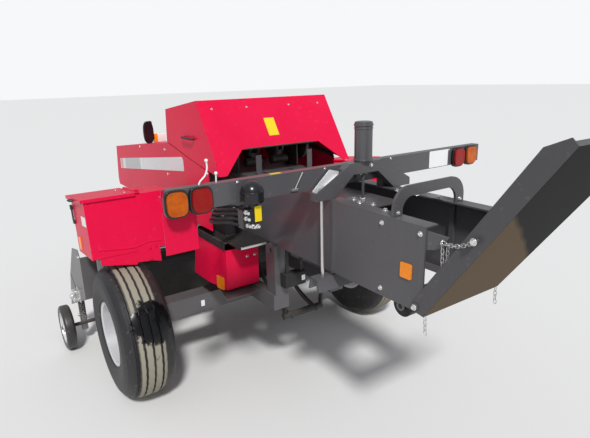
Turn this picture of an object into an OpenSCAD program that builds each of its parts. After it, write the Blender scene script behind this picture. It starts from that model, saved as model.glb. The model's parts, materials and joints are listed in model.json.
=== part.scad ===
// Centre-line square baler with a small rectangular bale chamber.
// Millimetres. +Y is the direction of travel, +X the machine's right side, Z = 0 the ground.
// Places along Y are measured from a line under the chamber, and the whole machine is shifted by datum_y.

/* [Wheels] */
// Radius of the tyres
tyre_r = 435; // [425:1:440]
// Width of the tyres
tyre_w = 316; // [300:1:320]
// Distance between the middles of the two tyres
track = 1952; // [1940:1:1970]
// Wheel spindles ahead of the line that lengths are measured from
wheel_y = 130; // [120:1:140]
// Radius of the rim where the tyre sits
rim_r = 198; // [190:1:205]
// Radius of the wheel spindle
spindle_r = 30; // [25:1:35]
// Radius of the gauge wheels
gauge_r = 170; // [160:1:175]
// Width of the gauge wheels
gauge_w = 72; // [64:1:95]
// Distance from the middle plane to the middle of a gauge wheel
gauge_x = 1247; // [1240:1:1260]

/* [Bale chamber] */
// Width over the chamber's side walls
chamber_w = 480; // [470:1:490]
// Height of the top of the chamber
chamber_top = 1386; // [1370:1:1400]
// Height of the side walls
chamber_h = 379; // [370:1:390]
// Rear end of the side walls, behind the line
chamber_rear = 1615; // [1600:5:1640]
// Front end of the chamber, ahead of the line
chamber_front = 1150; // [1130:5:1170]
// Thickness of the chamber's sheets
sheet = 8; // [6:1:10]
// Width of the inward flanges on the walls
flange = 75; // [60:5:85]
// Middle of the front tension yoke, behind the line
yoke_y = 985; // [960:5:1010]
// Middle of the rear arch, behind the line
arch_y = 1426; // [1400:2:1450]

/* [Chute] */
// Length of the chute
chute_l = 918; // [880:2:940]
// Width over the chute's side plates
chute_w = 510; // [506:1:524]
// Height of the chute's side plates
chute_side = 80; // [70:1:90]
// Angle of the folded chute above the level
chute_angle = 55; // [45:1:65]

/* [Lamps and tension gear] */
// Left end of the lamp bar
lamp_bar_left = 1040; // [1030:1:1055]
// Right end of the lamp bar
lamp_bar_right = 1004; // [990:1:1010]
// Height of the top of the lamp bar
lamp_bar_top = 1540; // [1530:1:1560]
// Depth of the lamp bar's web
lamp_bar_h = 103; // [95:1:115]
// Radius of the tension cylinder
cylinder_r = 46; // [42:1:56]
// Distance from the middle plane to a tie rod
tie_x = 272; // [265:1:285]

/* [Covers] */
// Half the width over the covers above the chamber
cover_half = 488; // [480:1:500]
// Thickness of the cover sheets
cover_t = 4; // [3:1:6]
// Distance from the middle plane to the outer face of a twine box
twine_out = 1165; // [1150:1:1180]
// Inner end of a twine box
twine_in = 620; // [600:5:640]
// Lower edge of a twine box's rear wall, ahead of the line
twine_rear = 75; // [70:1:80]
// Height of that edge
twine_low = 959; // [955:1:975]
// Forward tip of the twine boxes, in degrees
twine_tip = 6.2; // [5:0.1:7]
// Length of the twine boxes along the machine
twine_l = 370; // [350:5:380]
// Height of a twine box's walls
twine_h = 355; // [340:1:370]
// Middle plane to the hinge of a twine box's lid
lid_pin_x = 835; // [800:1:850]

/* [Pickup] */
// Half the width of the tined reel
reel_half = 985; // [940:5:995]
// Reel middle ahead of the line
reel_y = 950; // [930:5:980]
// Reel middle above the ground
reel_z = 350; // [330:5:370]
// Radius at the tips of the tines
tine_r = 250; // [235:1:255]
// Radius of the circle of tine bars
bar_r = 120; // [110:1:140]
// Number of tine bars
bars = 4; // [3:1:5]
// Number of tines on one bar
tines = 26; // [20:1:28]
// Outer face of the side shields
shield_x = 1155; // [1150:1:1160]

/* [Drawbar] */
// Hitch pin ahead of the line
hitch_y = 3010; // [2950:10:3060]
// Height of the middle of the hitch
hitch_z = 455; // [420:5:480]
// Diameter of the hitch pin hole
hitch_bore = 33; // [30:1:36]
// Width of the drawbar
drawbar_w = 170; // [150:2:190]
// Height of the flywheel shaft
flywheel_z = 1100; // [1080:5:1110]
// Radius of the flywheel
flywheel_r = 265; // [240:5:275]
// Bore of the driveline's front yoke
pto_bore = 34.9; // [34:0.1:36]

/* [Fits] */
// Running clearance between a shaft and its hole, on the radius
run_gap = 0.05; // [0.03:0.01:0.1]
// Gap between pieces that sit against each other
seat_gap = 0.3; // [0.2:0.1:0.5]
// Gap between pieces that move past each other
move_gap = 6; // [5:1:10]

/* [Hidden] */
$fn = 48;
wheel_x = track / 2;
wall_x = chamber_w / 2;
chamber_bot = chamber_top - chamber_h;
// Axle beam and rails
beam_half = 60;
beam_top = 560;
beam_bot = 435;
beam_end = 760;
frame_top = 1000;
frame_low = 880;
rail_in = 215;
rail_w = 60;
rail_bot = 590;
rail_h = 100;
rail_rear = -500;
// Needle yoke pivot and the radius of its needles
needle_y = -455;
needle_z = 972;
needle_r = 500;
needle_pin = 15;
needle_x = 100;
needle_arm = 140;
// Front end of the slots where the needles come out of the chamber's top
needle_exit = needle_y + sqrt(pow(needle_r + 15, 2) - pow(chamber_top - sheet - needle_z, 2)) + 12;
post_in = 165;
post_out = 260;
// Chute hinge bolt and the floor's depth below it
hinge_y = -(chamber_rear - 22);
hinge_z = chamber_bot + 31;
hinge_r = 10;
chute_drop = 54;
// Front and rear ends of the machine, which set where the line lies
front_end = hitch_y + 40;
rear_end = -hinge_y + chute_l * cos(chute_angle) + chute_drop * sin(chute_angle);
datum_y = -(front_end - rear_end) / 2;
// Rear roller
roller_y = -(chamber_rear - 120);
roller_z = chamber_bot - 9;
roller_r = 52;
roller_pin = 12;
ear_r = 22;
// Tension channel under the chamber, and the plate that presses on the bales
channel_top = 985;
channel_t = 8;
press_half = 150;
press_z = 1330;
yoke_seat = 1429;
// Plunger
plunger_rear = 600;
plunger_l = 280;
// Pickup hinge
lift_y = 330;
lift_z = 760;
lift_r = 20;
lift_x = 330;
// Wind guard's rod
guard_y = 700;
guard_z = 755;
// Joint between the drawbar and its neck
neck_end = 1640;
neck_top = 690;
neck_low = 532;
// Driveline
pto_angle = 14.5;
pto_start = 1668;
pto_l = 1215;
pto_tube = 38;
holder_at = 980;
// Jack
jack_y = 2400;
jack_tube = 32;
jack_leg = 26;
jack_x = -(drawbar_w / 2 + jack_tube + 4);
// Lid and hood hinges
pin_r = 6;
lid_pin_r = 5;
lid_pin_h = twine_h + 13;
hood_pin_y = 512;
hood_pin_z = 1566;
// Corners of the knotter hood's side in (Y, Z)
hood_side = [[500, 1566], [474, 1786], [-41, 1852], [-310, 1428], [-250, 1428], [-125, 1446], [117, 1488]];
// Edge line of the covers from the hood to the lower front, in (Y, Z)
cover_line = [[520, 1552], [1829, 1407], [1885, 1107], [1869, 1046]];
// Lamps on the bar: distance from the middle plane of the amber and the red ones, and their height
amber_x = [-lamp_bar_left + 33, lamp_bar_right - 104];
red_x = [-lamp_bar_left + 141, lamp_bar_right - 219];
lamp_z = 1482;
lamp_w = 89;
lamp_h = 103;

// Everything is drawn from the line that lengths are measured from
module on_datum() { translate([0, datum_y, 0]) children(); }
// A block given by its low and high corners
module block(lo, hi) { translate(lo) cube(hi - lo); }
// The same shape on both sides of the machine
module both_sides() { children(); mirror([1, 0, 0]) children(); }
// An outline in (Y, Z) carried along X from x0 to x1
module across(x0, x1) { translate([x0, 0, 0]) rotate([90, 0, 90]) linear_extrude(x1 - x0) children(); }
// A bar of round section along X
module rod_x(r, x0, x1, y, z) { translate([x0, y, z]) rotate([0, 90, 0]) cylinder(r = r, h = x1 - x0); }
// A bar of round section along Y
module rod_y(r, y0, y1, x, z) { translate([x, y0, z]) rotate([-90, 0, 0]) cylinder(r = r, h = y1 - y0); }
// A plate whose two upper corners are round
module round_top(half, top, low, r) {
    intersection() {
        union() {
            translate([-half, low - r]) square([2 * half, top - low]);
            translate([-half + r, low]) square([2 * (half - r), top - low]);
            for (s = [-1, 1]) translate([s * (half - r), top - r]) circle(r);
        }
        translate([-half, low]) square([2 * half, top - low]);
    }
}

// The twine boxes tip forwards about the lower edge of their rear wall
module on_box_frame() { translate([0, twine_rear, twine_low]) rotate([-twine_tip, 0, 0]) children(); }
// The driveline lies along its own line, falling towards the hitch
module on_driveline() { translate([0, pto_start, flywheel_z]) rotate([-pto_angle, 0, 0]) children(); }

module chassis() on_datum() color("dimgray") {
    rear = wheel_y - beam_half;
    front = wheel_y + beam_half;
    difference() {
        union() {
            block([-beam_end, rear, beam_bot], [beam_end, front, beam_top]);
            both_sides() {
                block([beam_end - 24, rear, tyre_r - 62], [beam_end, front, beam_top]);
                rod_x(spindle_r, beam_end - 4, wheel_x - 20, wheel_y, tyre_r);
                rod_x(spindle_r + 14, beam_end - 4, beam_end + 16, wheel_y, tyre_r);
                // saddles between the beam and the rails
                block([rail_in, rear, beam_top - 1], [rail_in + rail_w, front, rail_bot + 1]);
                across(rail_in, rail_in + rail_w)
                    polygon([[rail_rear, rail_bot], [200, rail_bot], [480, frame_low],
                        [chamber_front, frame_low],
                        [chamber_front, frame_top], [430, frame_top], [160, rail_bot + rail_h],
                        [rail_rear, rail_bot + rail_h]]);
                // rear posts, which also carry the needle yoke
                block([post_in, rail_rear, rail_bot], [post_out, rail_rear + 100, chamber_bot]);
                // middle posts over the beam
                block([rail_in, rear, rail_bot + rail_h - 1], [wall_x, front, chamber_bot]);
                // front posts
                for (y = [560, 1000]) block([rail_in, y, frame_top - 10], [wall_x, y + 60, chamber_bot]);
                block([rail_in, front + 4, rail_bot + 130], [wall_x, 276, chamber_bot]);
                // lugs that carry the pickup hinge
                across(lift_x - 16, lift_x) polygon([[230, rail_bot + 130], [lift_y, lift_z - 45],
                    [lift_y + 40, lift_z], [lift_y, lift_z + 45], [250, lift_z + 45]]);
                block([rail_in + rail_w - 1, 236, rail_bot + 160], [lift_x, 262, lift_z + 40]);
            }
            block([-rail_in - 1, chamber_front - 30, frame_low], [rail_in + 1, chamber_front, frame_top]);
            // plate beside the left rail
            translate([0, 0, rail_bot + rail_h - 21]) linear_extrude(6)
                polygon([[-rail_in - 10, -338], [-515, -343], [-468, -153], [-rail_in - 10, -214]]);
        }
        rod_x(needle_pin + run_gap, -post_out, post_out, needle_y, needle_z);
        both_sides() rod_x(lift_r + run_gap, lift_x - 17, lift_x + 1, lift_y, lift_z);
    }
}

// Bent neck between the frame and the drawbar, hollow and open where it meets the frame
module drawbar_neck() on_datum() color("dimgray") {
    in = drawbar_w / 2 - 8;
    difference() {
        across(-drawbar_w / 2, drawbar_w / 2)
            polygon([[chamber_front, frame_top], [1310, frame_top], [1440, 790], [neck_end, neck_top],
                [neck_end, neck_low],
                [1250, frame_low], [chamber_front, frame_low]]);
        across(-in, in)
            polygon([[chamber_front - 1, frame_top - 8], [1305, frame_top - 8], [1434, 783],
                [neck_end - 8, neck_top - 8],
                [neck_end - 8, neck_low + 12], [1253, frame_low + 8], [chamber_front - 1, frame_low + 8]]);
    }
}

module drawbar() on_datum() color("dimgray") {
    in = drawbar_w / 2 - 8;
    front = hitch_y - 70;
    difference() {
        union() {
            difference() {
                across(-drawbar_w / 2, drawbar_w / 2)
                    polygon([[neck_end, neck_top], [front, hitch_z + 60], [front, hitch_z - 55],
                        [neck_end, neck_low]]);
                across(-in, in)
                    polygon([[neck_end + 8, neck_top - 9], [front - 8, hitch_z + 53],
                        [front - 8, hitch_z - 47],
                        [neck_end + 8, neck_low + 8]]);
            }
            // bracket of the jack
            block([jack_x, jack_y - 45, 500], [-drawbar_w / 2 + 1, jack_y + 45, 600]);
            translate([jack_x, jack_y, 500]) cylinder(r = jack_tube + 14, h = 100);
            // holder of the driveline
            on_driveline() {
                rod_y(pto_tube + 14, holder_at, holder_at + 24, 0, 0);
                block([-22, holder_at, -305], [22, holder_at + 24, -pto_tube - 4]);
            }
        }
        translate([jack_x, jack_y, 490]) cylinder(r = jack_tube + seat_gap, h = 120);
        on_driveline() rod_y(pto_tube + run_gap, holder_at - 1, holder_at + 25, 0, 0);
    }
}

// Block on the drawbar's front end with the two cheeks that take the hitch pin
module hitch() on_datum() color("dimgray") {
    difference() {
        union() {
            block([-drawbar_w / 2 + 10, hitch_y - 70, hitch_z - 52],
                [drawbar_w / 2 - 10, hitch_y - 55, hitch_z + 52]);
            for (z = [hitch_z - 52, hitch_z + 27]) {
                block([-45, hitch_y - 56, z], [45, hitch_y, z + 25]);
                translate([0, hitch_y, z]) cylinder(r = 40, h = 25);
            }
        }
        translate([0, hitch_y, hitch_z - 60]) cylinder(r = hitch_bore / 2, h = 120);
    }
}

module bale_chamber() on_datum() color("dimgray") {
    difference() {
        union() {
            both_sides() {
                across(wall_x - sheet, wall_x) {
                    polygon([[chamber_front, chamber_bot], [chamber_front, chamber_top],
                        [-chamber_rear, chamber_top],
                        [-chamber_rear, chamber_bot + 105], [-chamber_rear + 32, chamber_bot]]);
                    translate([roller_y, roller_z]) circle(ear_r);
                }
                // inward flanges along the top and the bottom
                block([wall_x - flange, -chamber_rear, chamber_top - sheet],
                    [wall_x, chamber_front, chamber_top]);
                block([wall_x - flange, roller_y + roller_r + 10, chamber_bot],
                    [wall_x, chamber_front, chamber_bot + sheet]);
                // spacer and bolt of the chute
                rod_x(hinge_r + 8, wall_x - 1, chute_w / 2 - 6 - seat_gap, hinge_y, hinge_z);
                rod_x(hinge_r, wall_x - 1, chute_w / 2 + 3, hinge_y, hinge_z);
                rod_x(hinge_r + 6, chute_w / 2 + seat_gap, chute_w / 2 + 9, hinge_y, hinge_z);
                // bracket of the chute's chain
                across(wall_x - sheet - 6, wall_x - sheet + 1)
                    polygon([[-1560, 1372], [-1722, 1368], [-1712, 1348], [-1668, 1305],
                        [-1615, 1290], [-1560, 1290]]);
                // upright bar inside the rear of the wall
                block([wall_x - 24, -1400, chamber_bot + 70], [wall_x - sheet + 1, -1372, chamber_top - 1]);
            }
            // floor, top and front end
            block([-wall_x, -1200, chamber_bot], [wall_x, chamber_front, chamber_bot + sheet]);
            block([-wall_x, -420, chamber_top - sheet], [wall_x, chamber_front, chamber_top]);
            block([-wall_x, chamber_front - sheet, chamber_bot], [wall_x, chamber_front, chamber_top]);
        }
        // inlet from the feed housing
        block([-180, 210, chamber_bot - 1], [180, 620, chamber_bot + sheet + 1]);
        // slots for the needles
        for (x = [-needle_x, needle_x]) {
            block([x - 14, -10, chamber_bot - 1], [x + 14, 100, chamber_bot + sheet + 1]);
            block([x - 14, -420 - 1, chamber_top - sheet - 1], [x + 14, needle_exit, chamber_top + 1]);
        }
        both_sides() rod_x(roller_pin + run_gap, wall_x - sheet - 1, wall_x + 1, roller_y, roller_z);
    }
}

module rear_arch() on_datum() color("dimgray") {
    translate([0, -arch_y + 6, 0]) rotate([90, 0, 0]) linear_extrude(12) difference() {
        round_top(235, 1513, chamber_top + seat_gap, 95);
        round_top(178, 1464, chamber_top - 1, 60);
    }
}

// Arch over the chamber with open channels down to the tie rods
module tension_yoke() on_datum() color("dimgray") {
    half = 25;
    slope = (1548 - 1425) / (325 - 105);
    difference() {
        translate([0, -yoke_y + half, 0]) rotate([90, 0, 0]) linear_extrude(2 * half)
            polygon([[-325, chamber_top], [-325, 1425], [-105, 1548], [105, 1548], [325, 1425],
                [325, chamber_top],
                [205, chamber_top], [85, 1490], [-85, 1490], [-205, chamber_top]]);
        both_sides() {
            translate([tie_x, -yoke_y, chamber_top - 1]) cylinder(r = 9 + seat_gap, h = 100);
            translate([0, -yoke_y + half - 6, 0]) rotate([90, 0, 0]) linear_extrude(2 * half - 12)
                polygon([[319, 1403], [150, 1403 + 169 * slope], [150, 1600], [319, 1600]]);
            block([tie_x - 21, -yoke_y - half + 6, yoke_seat], [tie_x + 21, -yoke_y + half - 6, 1600]);
        }
        // passage of the piston rod
        translate([0, -yoke_y, 1480]) cylinder(r = 9, h = 80);
    }
}

module tension_cylinder() on_datum() color("dimgray") {
    translate([0, -yoke_y, 1548]) {
        cylinder(r = cylinder_r, h = 198);
        translate([0, 0, 165]) cylinder(r = cylinder_r + 2, h = 8);
        // piston rod down to the pressing plate
        translate([0, 0, press_z + 8 + seat_gap - 1548]) cylinder(r = 8, h = 1548 - press_z - 7);
    }
}

module tie_rods() on_datum() color("silver") {
    low = channel_top - channel_t - seat_gap - 14;
    both_sides() translate([tie_x, -yoke_y, 0]) {
        translate([0, 0, low - 12]) cylinder(r = 9, h = yoke_seat + 30 - low);
        translate([0, 0, yoke_seat + seat_gap]) cylinder(r = 17, h = 15, $fn = 6);
        translate([0, 0, low]) cylinder(r = 17, h = 14, $fn = 6);
    }
}

module tension_channel() on_datum() color("dimgray") {
    difference() {
        across(-330, 330) difference() {
            polygon([[-yoke_y - 45, 915], [-yoke_y - 27, channel_top], [-yoke_y + 27, channel_top],
                [-yoke_y + 45, 915]]);
            polygon([[-yoke_y - 36, 914], [-yoke_y - 21, channel_top - channel_t],
                [-yoke_y + 21, channel_top - channel_t],
                [-yoke_y + 36, 914]]);
        }
        both_sides() translate([tie_x, -yoke_y, 900]) cylinder(r = 9 + seat_gap, h = 100);
    }
    // blocks that hold it against the chamber's floor
    both_sides() block([wall_x - 30, -yoke_y - 20, channel_top - 1],
        [wall_x - 8, -yoke_y + 20, chamber_bot]);
}

// Plate that presses on the bales, bent up to the chamber's top sheet
module tension_plate() on_datum() color("dimgray") across(-press_half, press_half)
    polygon([[-1120, press_z], [-1120, press_z + 8], [-420, press_z + 8], [-420, chamber_top - sheet],
        [-412, chamber_top - sheet], [-412, press_z]]);

// Hollow plunger, open at its front, on two shoes
module plunger() on_datum() color("dimgray") {
    half = wall_x - sheet - move_gap;
    low = chamber_bot + sheet + move_gap;
    top = chamber_top - sheet - move_gap;
    difference() {
        block([-half, plunger_rear, low], [half, plunger_rear + plunger_l, top]);
        block([-half + 10, plunger_rear + 20, low + 10],
            [half - 10, plunger_rear + plunger_l + 1, top - 10]);
        // slots for the needles
        for (x = [-needle_x, needle_x]) block([x - 16, plunger_rear - 1, low + 30],
            [x + 16, plunger_rear + 12, top - 30]);
    }
    both_sides() block([190, plunger_rear + 20, chamber_bot + sheet + seat_gap],
        [214, plunger_rear + plunger_l - 20, low + 1]);
}

module rear_roller() on_datum() color("dimgray") {
    rod_x(roller_r, -wall_x + sheet + 6, wall_x - sheet - 6, roller_y, roller_z);
    rod_x(roller_pin, -wall_x + 1, wall_x - 1, roller_y, roller_z);
}

module chute() on_datum() color("dimgray") {
    half = chute_w / 2;
    drop = chute_drop;
    translate([0, hinge_y, hinge_z]) rotate([-chute_angle, 0, 0]) {
        difference() {
            union() {
                both_sides() across(half - 6, half) {
                    polygon([[0, -drop], [-chute_l, -drop], [-chute_l - 5, -20],
                        [-chute_l + 70, chute_side - drop],
                        [-40, chute_side - drop], [12, 20], [22, -10]]);
                    circle(22);
                }
                block([-half, -chute_l, -drop], [half, 0, -drop + 4]);
                // stiffening lip along the free end
                block([-half, -chute_l, -drop], [half, -chute_l + 4, -drop + 24]);
            }
            rod_x(hinge_r + run_gap, -half - 1, half + 1, 0, 0);
        }
        // bolts that hold the chains
        both_sides() rod_x(9, half - 1, half + 22, -447, -12);
    }
}

module lamp_bar() on_datum() color("dimgray") {
    low = lamp_bar_top - lamp_bar_h;
    difference() {
        block([-lamp_bar_left, -955, low], [lamp_bar_right, -905, lamp_bar_top]);
        block([-lamp_bar_left + 5, -950, low + 5], [lamp_bar_right - 5, -904, lamp_bar_top - 5]);
    }
    both_sides() block([175, -955, chamber_top], [wall_x, -905, low + 1]);
}

// One lamp at distance x from the middle: a rounded block, from depth to depth + t behind the bar
module lamp(x, depth, t, grow) {
    half = lamp_w / 2 + grow;
    high = lamp_h / 2 + grow;
    r = 16 + grow;
    translate([x, -955 - depth, lamp_z]) rotate([90, 0, 0]) linear_extrude(t) {
        square([2 * (half - r), 2 * high], center = true);
        square([2 * half, 2 * (high - r)], center = true);
        for (a = [-half + r, half - r], b = [-high + r, high - r]) translate([a, b]) circle(r);
    }
}
module lamp_housings() on_datum() color("#222226") for (x = concat(amber_x, red_x)) lamp(x, 0, 16, 7);
module amber_lamps() on_datum() color("orange") for (x = amber_x) lamp(x, 16, 14, 0);
module red_lamps() on_datum() color("firebrick") for (x = red_x) lamp(x, 16, 14, 0);

module lamp_plate() on_datum() color("crimson") {
    block([-lamp_bar_left - 10, -905, 1248], [-900, -900, lamp_bar_top - 6]);
    block([-lamp_bar_left - 10, -900, lamp_bar_top - 40], [-900, -870, lamp_bar_top - 36]);
}

// Accumulator with a domed cap behind the lamp bar, on its post with the valve beside it
module density_valve() on_datum() color("#26262a") {
    cap_r = 52;
    translate([-676, -955 - cap_r - 1, 0]) {
        translate([0, 0, 1335]) cylinder(r = 24, h = 120);
        translate([0, 0, 1452]) cylinder(r = cap_r, h = 38);
        intersection() {
            translate([0, 0, 1490]) sphere(r = cap_r);
            block([-cap_r - 1, -cap_r - 1, 1489], [cap_r + 1, cap_r + 1, 1543]);
        }
        block([-64, -24, 1335], [-10, 24, 1420]);
        block([-14, 10, 1430], [14, cap_r + 1, 1448]);
    }
}

module valve_platform() on_datum() color("#2a2a2c") {
    block([-455, -420, chamber_bot + 1], [-wall_x, 160, chamber_bot + 9]);
    block([-455, -424, chamber_bot - 4], [-post_out - 4, -420, chamber_bot + 9]);
    block([-400, -150, chamber_bot + 8], [-280, 60, chamber_bot + 110]);
}

// Tapering shell of the guard, drawn in by a wall's thickness
module guard_shape(in) {
    hull() {
        translate([0, 0, 960]) linear_extrude(4)
            polygon([[-240 - in, 150 - in], [-480 + in, 150 - in], [-470 + in, -280 + in],
                [-240 - in, -275 + in]]);
        translate([0, 0, 700]) linear_extrude(4)
            polygon([[-240 - in, 150 - in], [-506 + in, 150 - in], [-503 + in, -60 + in],
                [-470 + in, -270 + in],
                [-240 - in, -270 + in]]);
    }
}
module guard_box() on_datum() color("crimson") {
    difference() {
        guard_shape(0);
        translate([0, 0, 8]) guard_shape(5);
    }
}

// Hood over the knotters, open below, with its hinge barrels at the front
module knotter_hood() on_datum() color("crimson") {
    in = cover_half - cover_t;
    difference() {
        across(-cover_half, cover_half) polygon(hood_side);
        across(-in, in) polygon([[504 - 8, 1500], [474 - 5, 1786 - 5], [-38, 1852 - 6], [-305, 1425],
            [-310, 1400]]);
        // opening in the sloping rear face
        across(-262, 262) polygon([[-400, 1400], [-400, 1559], [-200, 1559], [-200, 1400]]);
        both_sides() translate([0, -400, 0]) rotate([-90, 0, 0]) linear_extrude(230)
            polygon([[255, -1559], [290, -1559], [442, -1427], [442, -1400], [255, -1400]]);
    }
    // hinge barrel
    difference() {
        union() both_sides() {
            rod_x(pin_r + 7, 180, 260, hood_pin_y, hood_pin_z);
            block([180, 480, hood_pin_z - 4], [260, hood_pin_y, hood_pin_z + 8]);
        }
        rod_x(pin_r + run_gap, -261, 261, hood_pin_y, hood_pin_z);
    }
}

module knotters() on_datum() color("#55565a") {
    rod_x(18, -340, 340, 20, 1530);
    both_sides() {
        block([225, -60, chamber_top], [235, 100, 1570]);
        rod_x(75, needle_x - 34, needle_x - 20, 20, 1530);
        rod_x(62, needle_x + 20, needle_x + 34, 20, 1530);
        block([needle_x - 20, -30, 1420], [needle_x + 20, 60, 1500]);
        rod_x(30, needle_x - 60, needle_x + 60, -20, 1440);
    }
    rod_x(110, 290, 310, 20, 1530);
}

module side_covers() on_datum() color("crimson") {
    both_sides() across(cover_half - cover_t, cover_half)
        polygon(concat([[-150, 1062], [-150, 1438 - move_gap], [-125, 1446 - move_gap],
            [117, 1488 - move_gap],
            [494, 1566 - move_gap - 2]], cover_line));
}

module front_cover() on_datum() color("crimson") {
    in = cover_half - cover_t - seat_gap;
    top = cover_line[0];
    fold = cover_line[1];
    nose = cover_line[2];
    foot = cover_line[3];
    // top sheet
    across(-in, in) polygon([[top[0], top[1] - 4], top, fold, [fold[0], fold[1] - 4]]);
    difference() {
        across(-in, in) polygon([[fold[0] - 4, fold[1] - 2], fold, nose, foot, [foot[0] - 4, foot[1]],
            [nose[0] - 4, nose[1]]]);
        // arch for the driveline
        block([-120, 1700, foot[1] - 46], [120, 1900, 1180]);
    }
    // hinge pin of the knotter hood with its two ears
    rod_x(pin_r, -300, 300, hood_pin_y, hood_pin_z);
    both_sides() block([264, hood_pin_y - 8, hood_pin_z - 30], [276, 540, hood_pin_z + 9]);
}

module cover_brackets() on_datum() color("dimgray") {
    both_sides() for (y = [-120, 420, 1060])
        block([wall_x, y, 1190], [cover_half - cover_t, y + 40, 1230]);
    // arms under the twine boxes, from the front posts and from the rails
    both_sides() on_box_frame() {
        block([wall_x, 150, -40], [twine_out - 60, 190, 0]);
        block([rail_in + rail_w, 300, -40], [twine_out - 60, 340, 0]);
    }
    // straps behind the knotters
    both_sides() block([174, -256, chamber_top], [212, -250, 1518]);
    // uprights that carry the front cover
    both_sides() block([140, chamber_front, 1346], [200, chamber_front + 30, 1470]);
}

module twine_box() on_box_frame() {
    difference() {
        block([twine_in, 0, 0], [twine_out, twine_l, twine_h]);
        block([twine_in + cover_t, cover_t, cover_t],
            [twine_out - cover_t, twine_l - cover_t, twine_h + 1]);
    }
    // lower lip of the rear wall
    translate([0, cover_t, 0]) rotate([90, 0, 0]) linear_extrude(cover_t)
        polygon([[twine_out - 45, 1], [twine_out - 45, -41], [910, -82], [906, -69], [812, -78],
            [756, -92], [756, 1]]);
    // fixed strip of the top, with the lid's hinge pin on two ears
    block([twine_in, 0, twine_h - cover_t], [lid_pin_x + 12, twine_l, twine_h]);
    rod_y(lid_pin_r, 30, twine_l - 30, lid_pin_x, lid_pin_h);
    for (y = [30, twine_l - 42]) block([lid_pin_x - 8, y, twine_h - 2],
        [lid_pin_x + 8, y + 12, lid_pin_h + 8]);
}
module twine_box_left() on_datum() color("crimson") mirror([1, 0, 0]) twine_box();
module twine_box_right() on_datum() color("crimson") twine_box();

module twine_lid() on_box_frame() {
    out = twine_out + 18;
    rear = -12;
    front = twine_l + 75;
    low = twine_h + move_gap;
    rim = low + cover_t - 20;
    difference() {
        union() {
            block([lid_pin_x, rear, low], [out, front, low + cover_t]);
            block([out - cover_t, rear, rim], [out, front, low + 1]);
            for (y = [rear, front - cover_t]) block([lid_pin_x + 30, y, rim], [out, y + cover_t, low + 1]);
            rod_y(lid_pin_r + 5, 60, twine_l - 60, lid_pin_x, lid_pin_h);
        }
        rod_y(lid_pin_r + run_gap, rear - 8, front + 10, lid_pin_x, lid_pin_h);
        for (y = [18, twine_l - 54]) block([lid_pin_x - 30, y, twine_h - 50],
            [lid_pin_x + 24, y + 36, lid_pin_h + 24]);
    }
}
module twine_lid_left() on_datum() color("crimson") mirror([1, 0, 0]) twine_lid();
module twine_lid_right() on_datum() color("crimson") twine_lid();

module needle_yoke() on_datum() color("dimgray") {
    rod_x(needle_pin, -post_out + 5, post_out - 5, needle_y, needle_z);
    translate([0, needle_y, needle_z]) {
        both_sides() rotate([-85, 0, 0]) block([needle_arm, -10, -14], [needle_arm + 14, needle_r, 14]);
        rotate([-85, 0, 0]) rod_x(22, -needle_arm - 14, needle_arm + 14, needle_r, 0);
        for (x = [-needle_x, needle_x]) translate([x - 7, 0, 0]) rotate([90, 0, 90]) rotate([0, 0, -88])
            rotate_extrude(angle = 91, $fn = 96) translate([needle_r - 15, 0]) square([30, 14]);
    }
}

module gearbox() on_datum() color("dimgray") {
    difference() {
        union() {
            block([-150, chamber_front, frame_top + 6], [150, 1350, 1290]);
            rod_y(85, 1349, 1430, 0, flywheel_z);
        }
        rod_y(32 + run_gap, 1250, 1431, 0, flywheel_z);
    }
}

module flywheel() on_datum() color("crimson") {
    rod_y(32, 1260, 1630, 0, flywheel_z);
    translate([0, 1480, flywheel_z]) rotate([-90, 0, 0]) rotate_extrude($fn = 72)
        polygon([[20, 0], [70, 0], [70, 20], [flywheel_r - 45, 20], [flywheel_r - 45, 0],
            [flywheel_r, 0], [flywheel_r, 80],
            [flywheel_r - 45, 80], [flywheel_r - 45, 45], [70, 45], [70, 110], [20, 110]]);
}

module pto_shaft() on_datum() color("#2b2b2e") on_driveline() {
    difference() {
        union() {
            rod_y(pto_tube, 60, pto_l - 60, 0, 0);
            translate([0, 20, 0]) rotate([-90, 0, 0]) cylinder(r1 = 72, r2 = 50, h = 110);
            translate([0, pto_l - 130, 0]) rotate([-90, 0, 0]) cylinder(r1 = 50, r2 = 72, h = 110);
            rod_y(26, -24, pto_l, 0, 0);
            rod_y(36, pto_l - 25, pto_l + 55, 0, 0);
        }
        rod_y(pto_bore / 2, pto_l - 20, pto_l + 56, 0, 0);
    }
}

module jack_tube() on_datum() color("dimgray") translate([jack_x, jack_y, 0]) {
    difference() {
        union() {
            translate([0, 0, 300]) cylinder(r = jack_tube, h = 460);
            translate([0, 0, 600 + seat_gap]) cylinder(r = jack_tube + 8, h = 12);
        }
        translate([0, 0, 299]) cylinder(r = jack_leg + run_gap, h = 440);
    }
    // crank
    translate([0, 0, 720]) rotate([0, -90, 0]) cylinder(r = 8, h = 90);
    translate([-90, 0, 712]) cylinder(r = 8, h = 120);
}

module jack_leg() on_datum() color("silver") translate([jack_x, jack_y, 0]) {
    translate([0, 0, 6]) cylinder(r = jack_leg, h = 554);
    translate([-75, -75, 0]) cube([150, 150, 10]);
}

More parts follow.
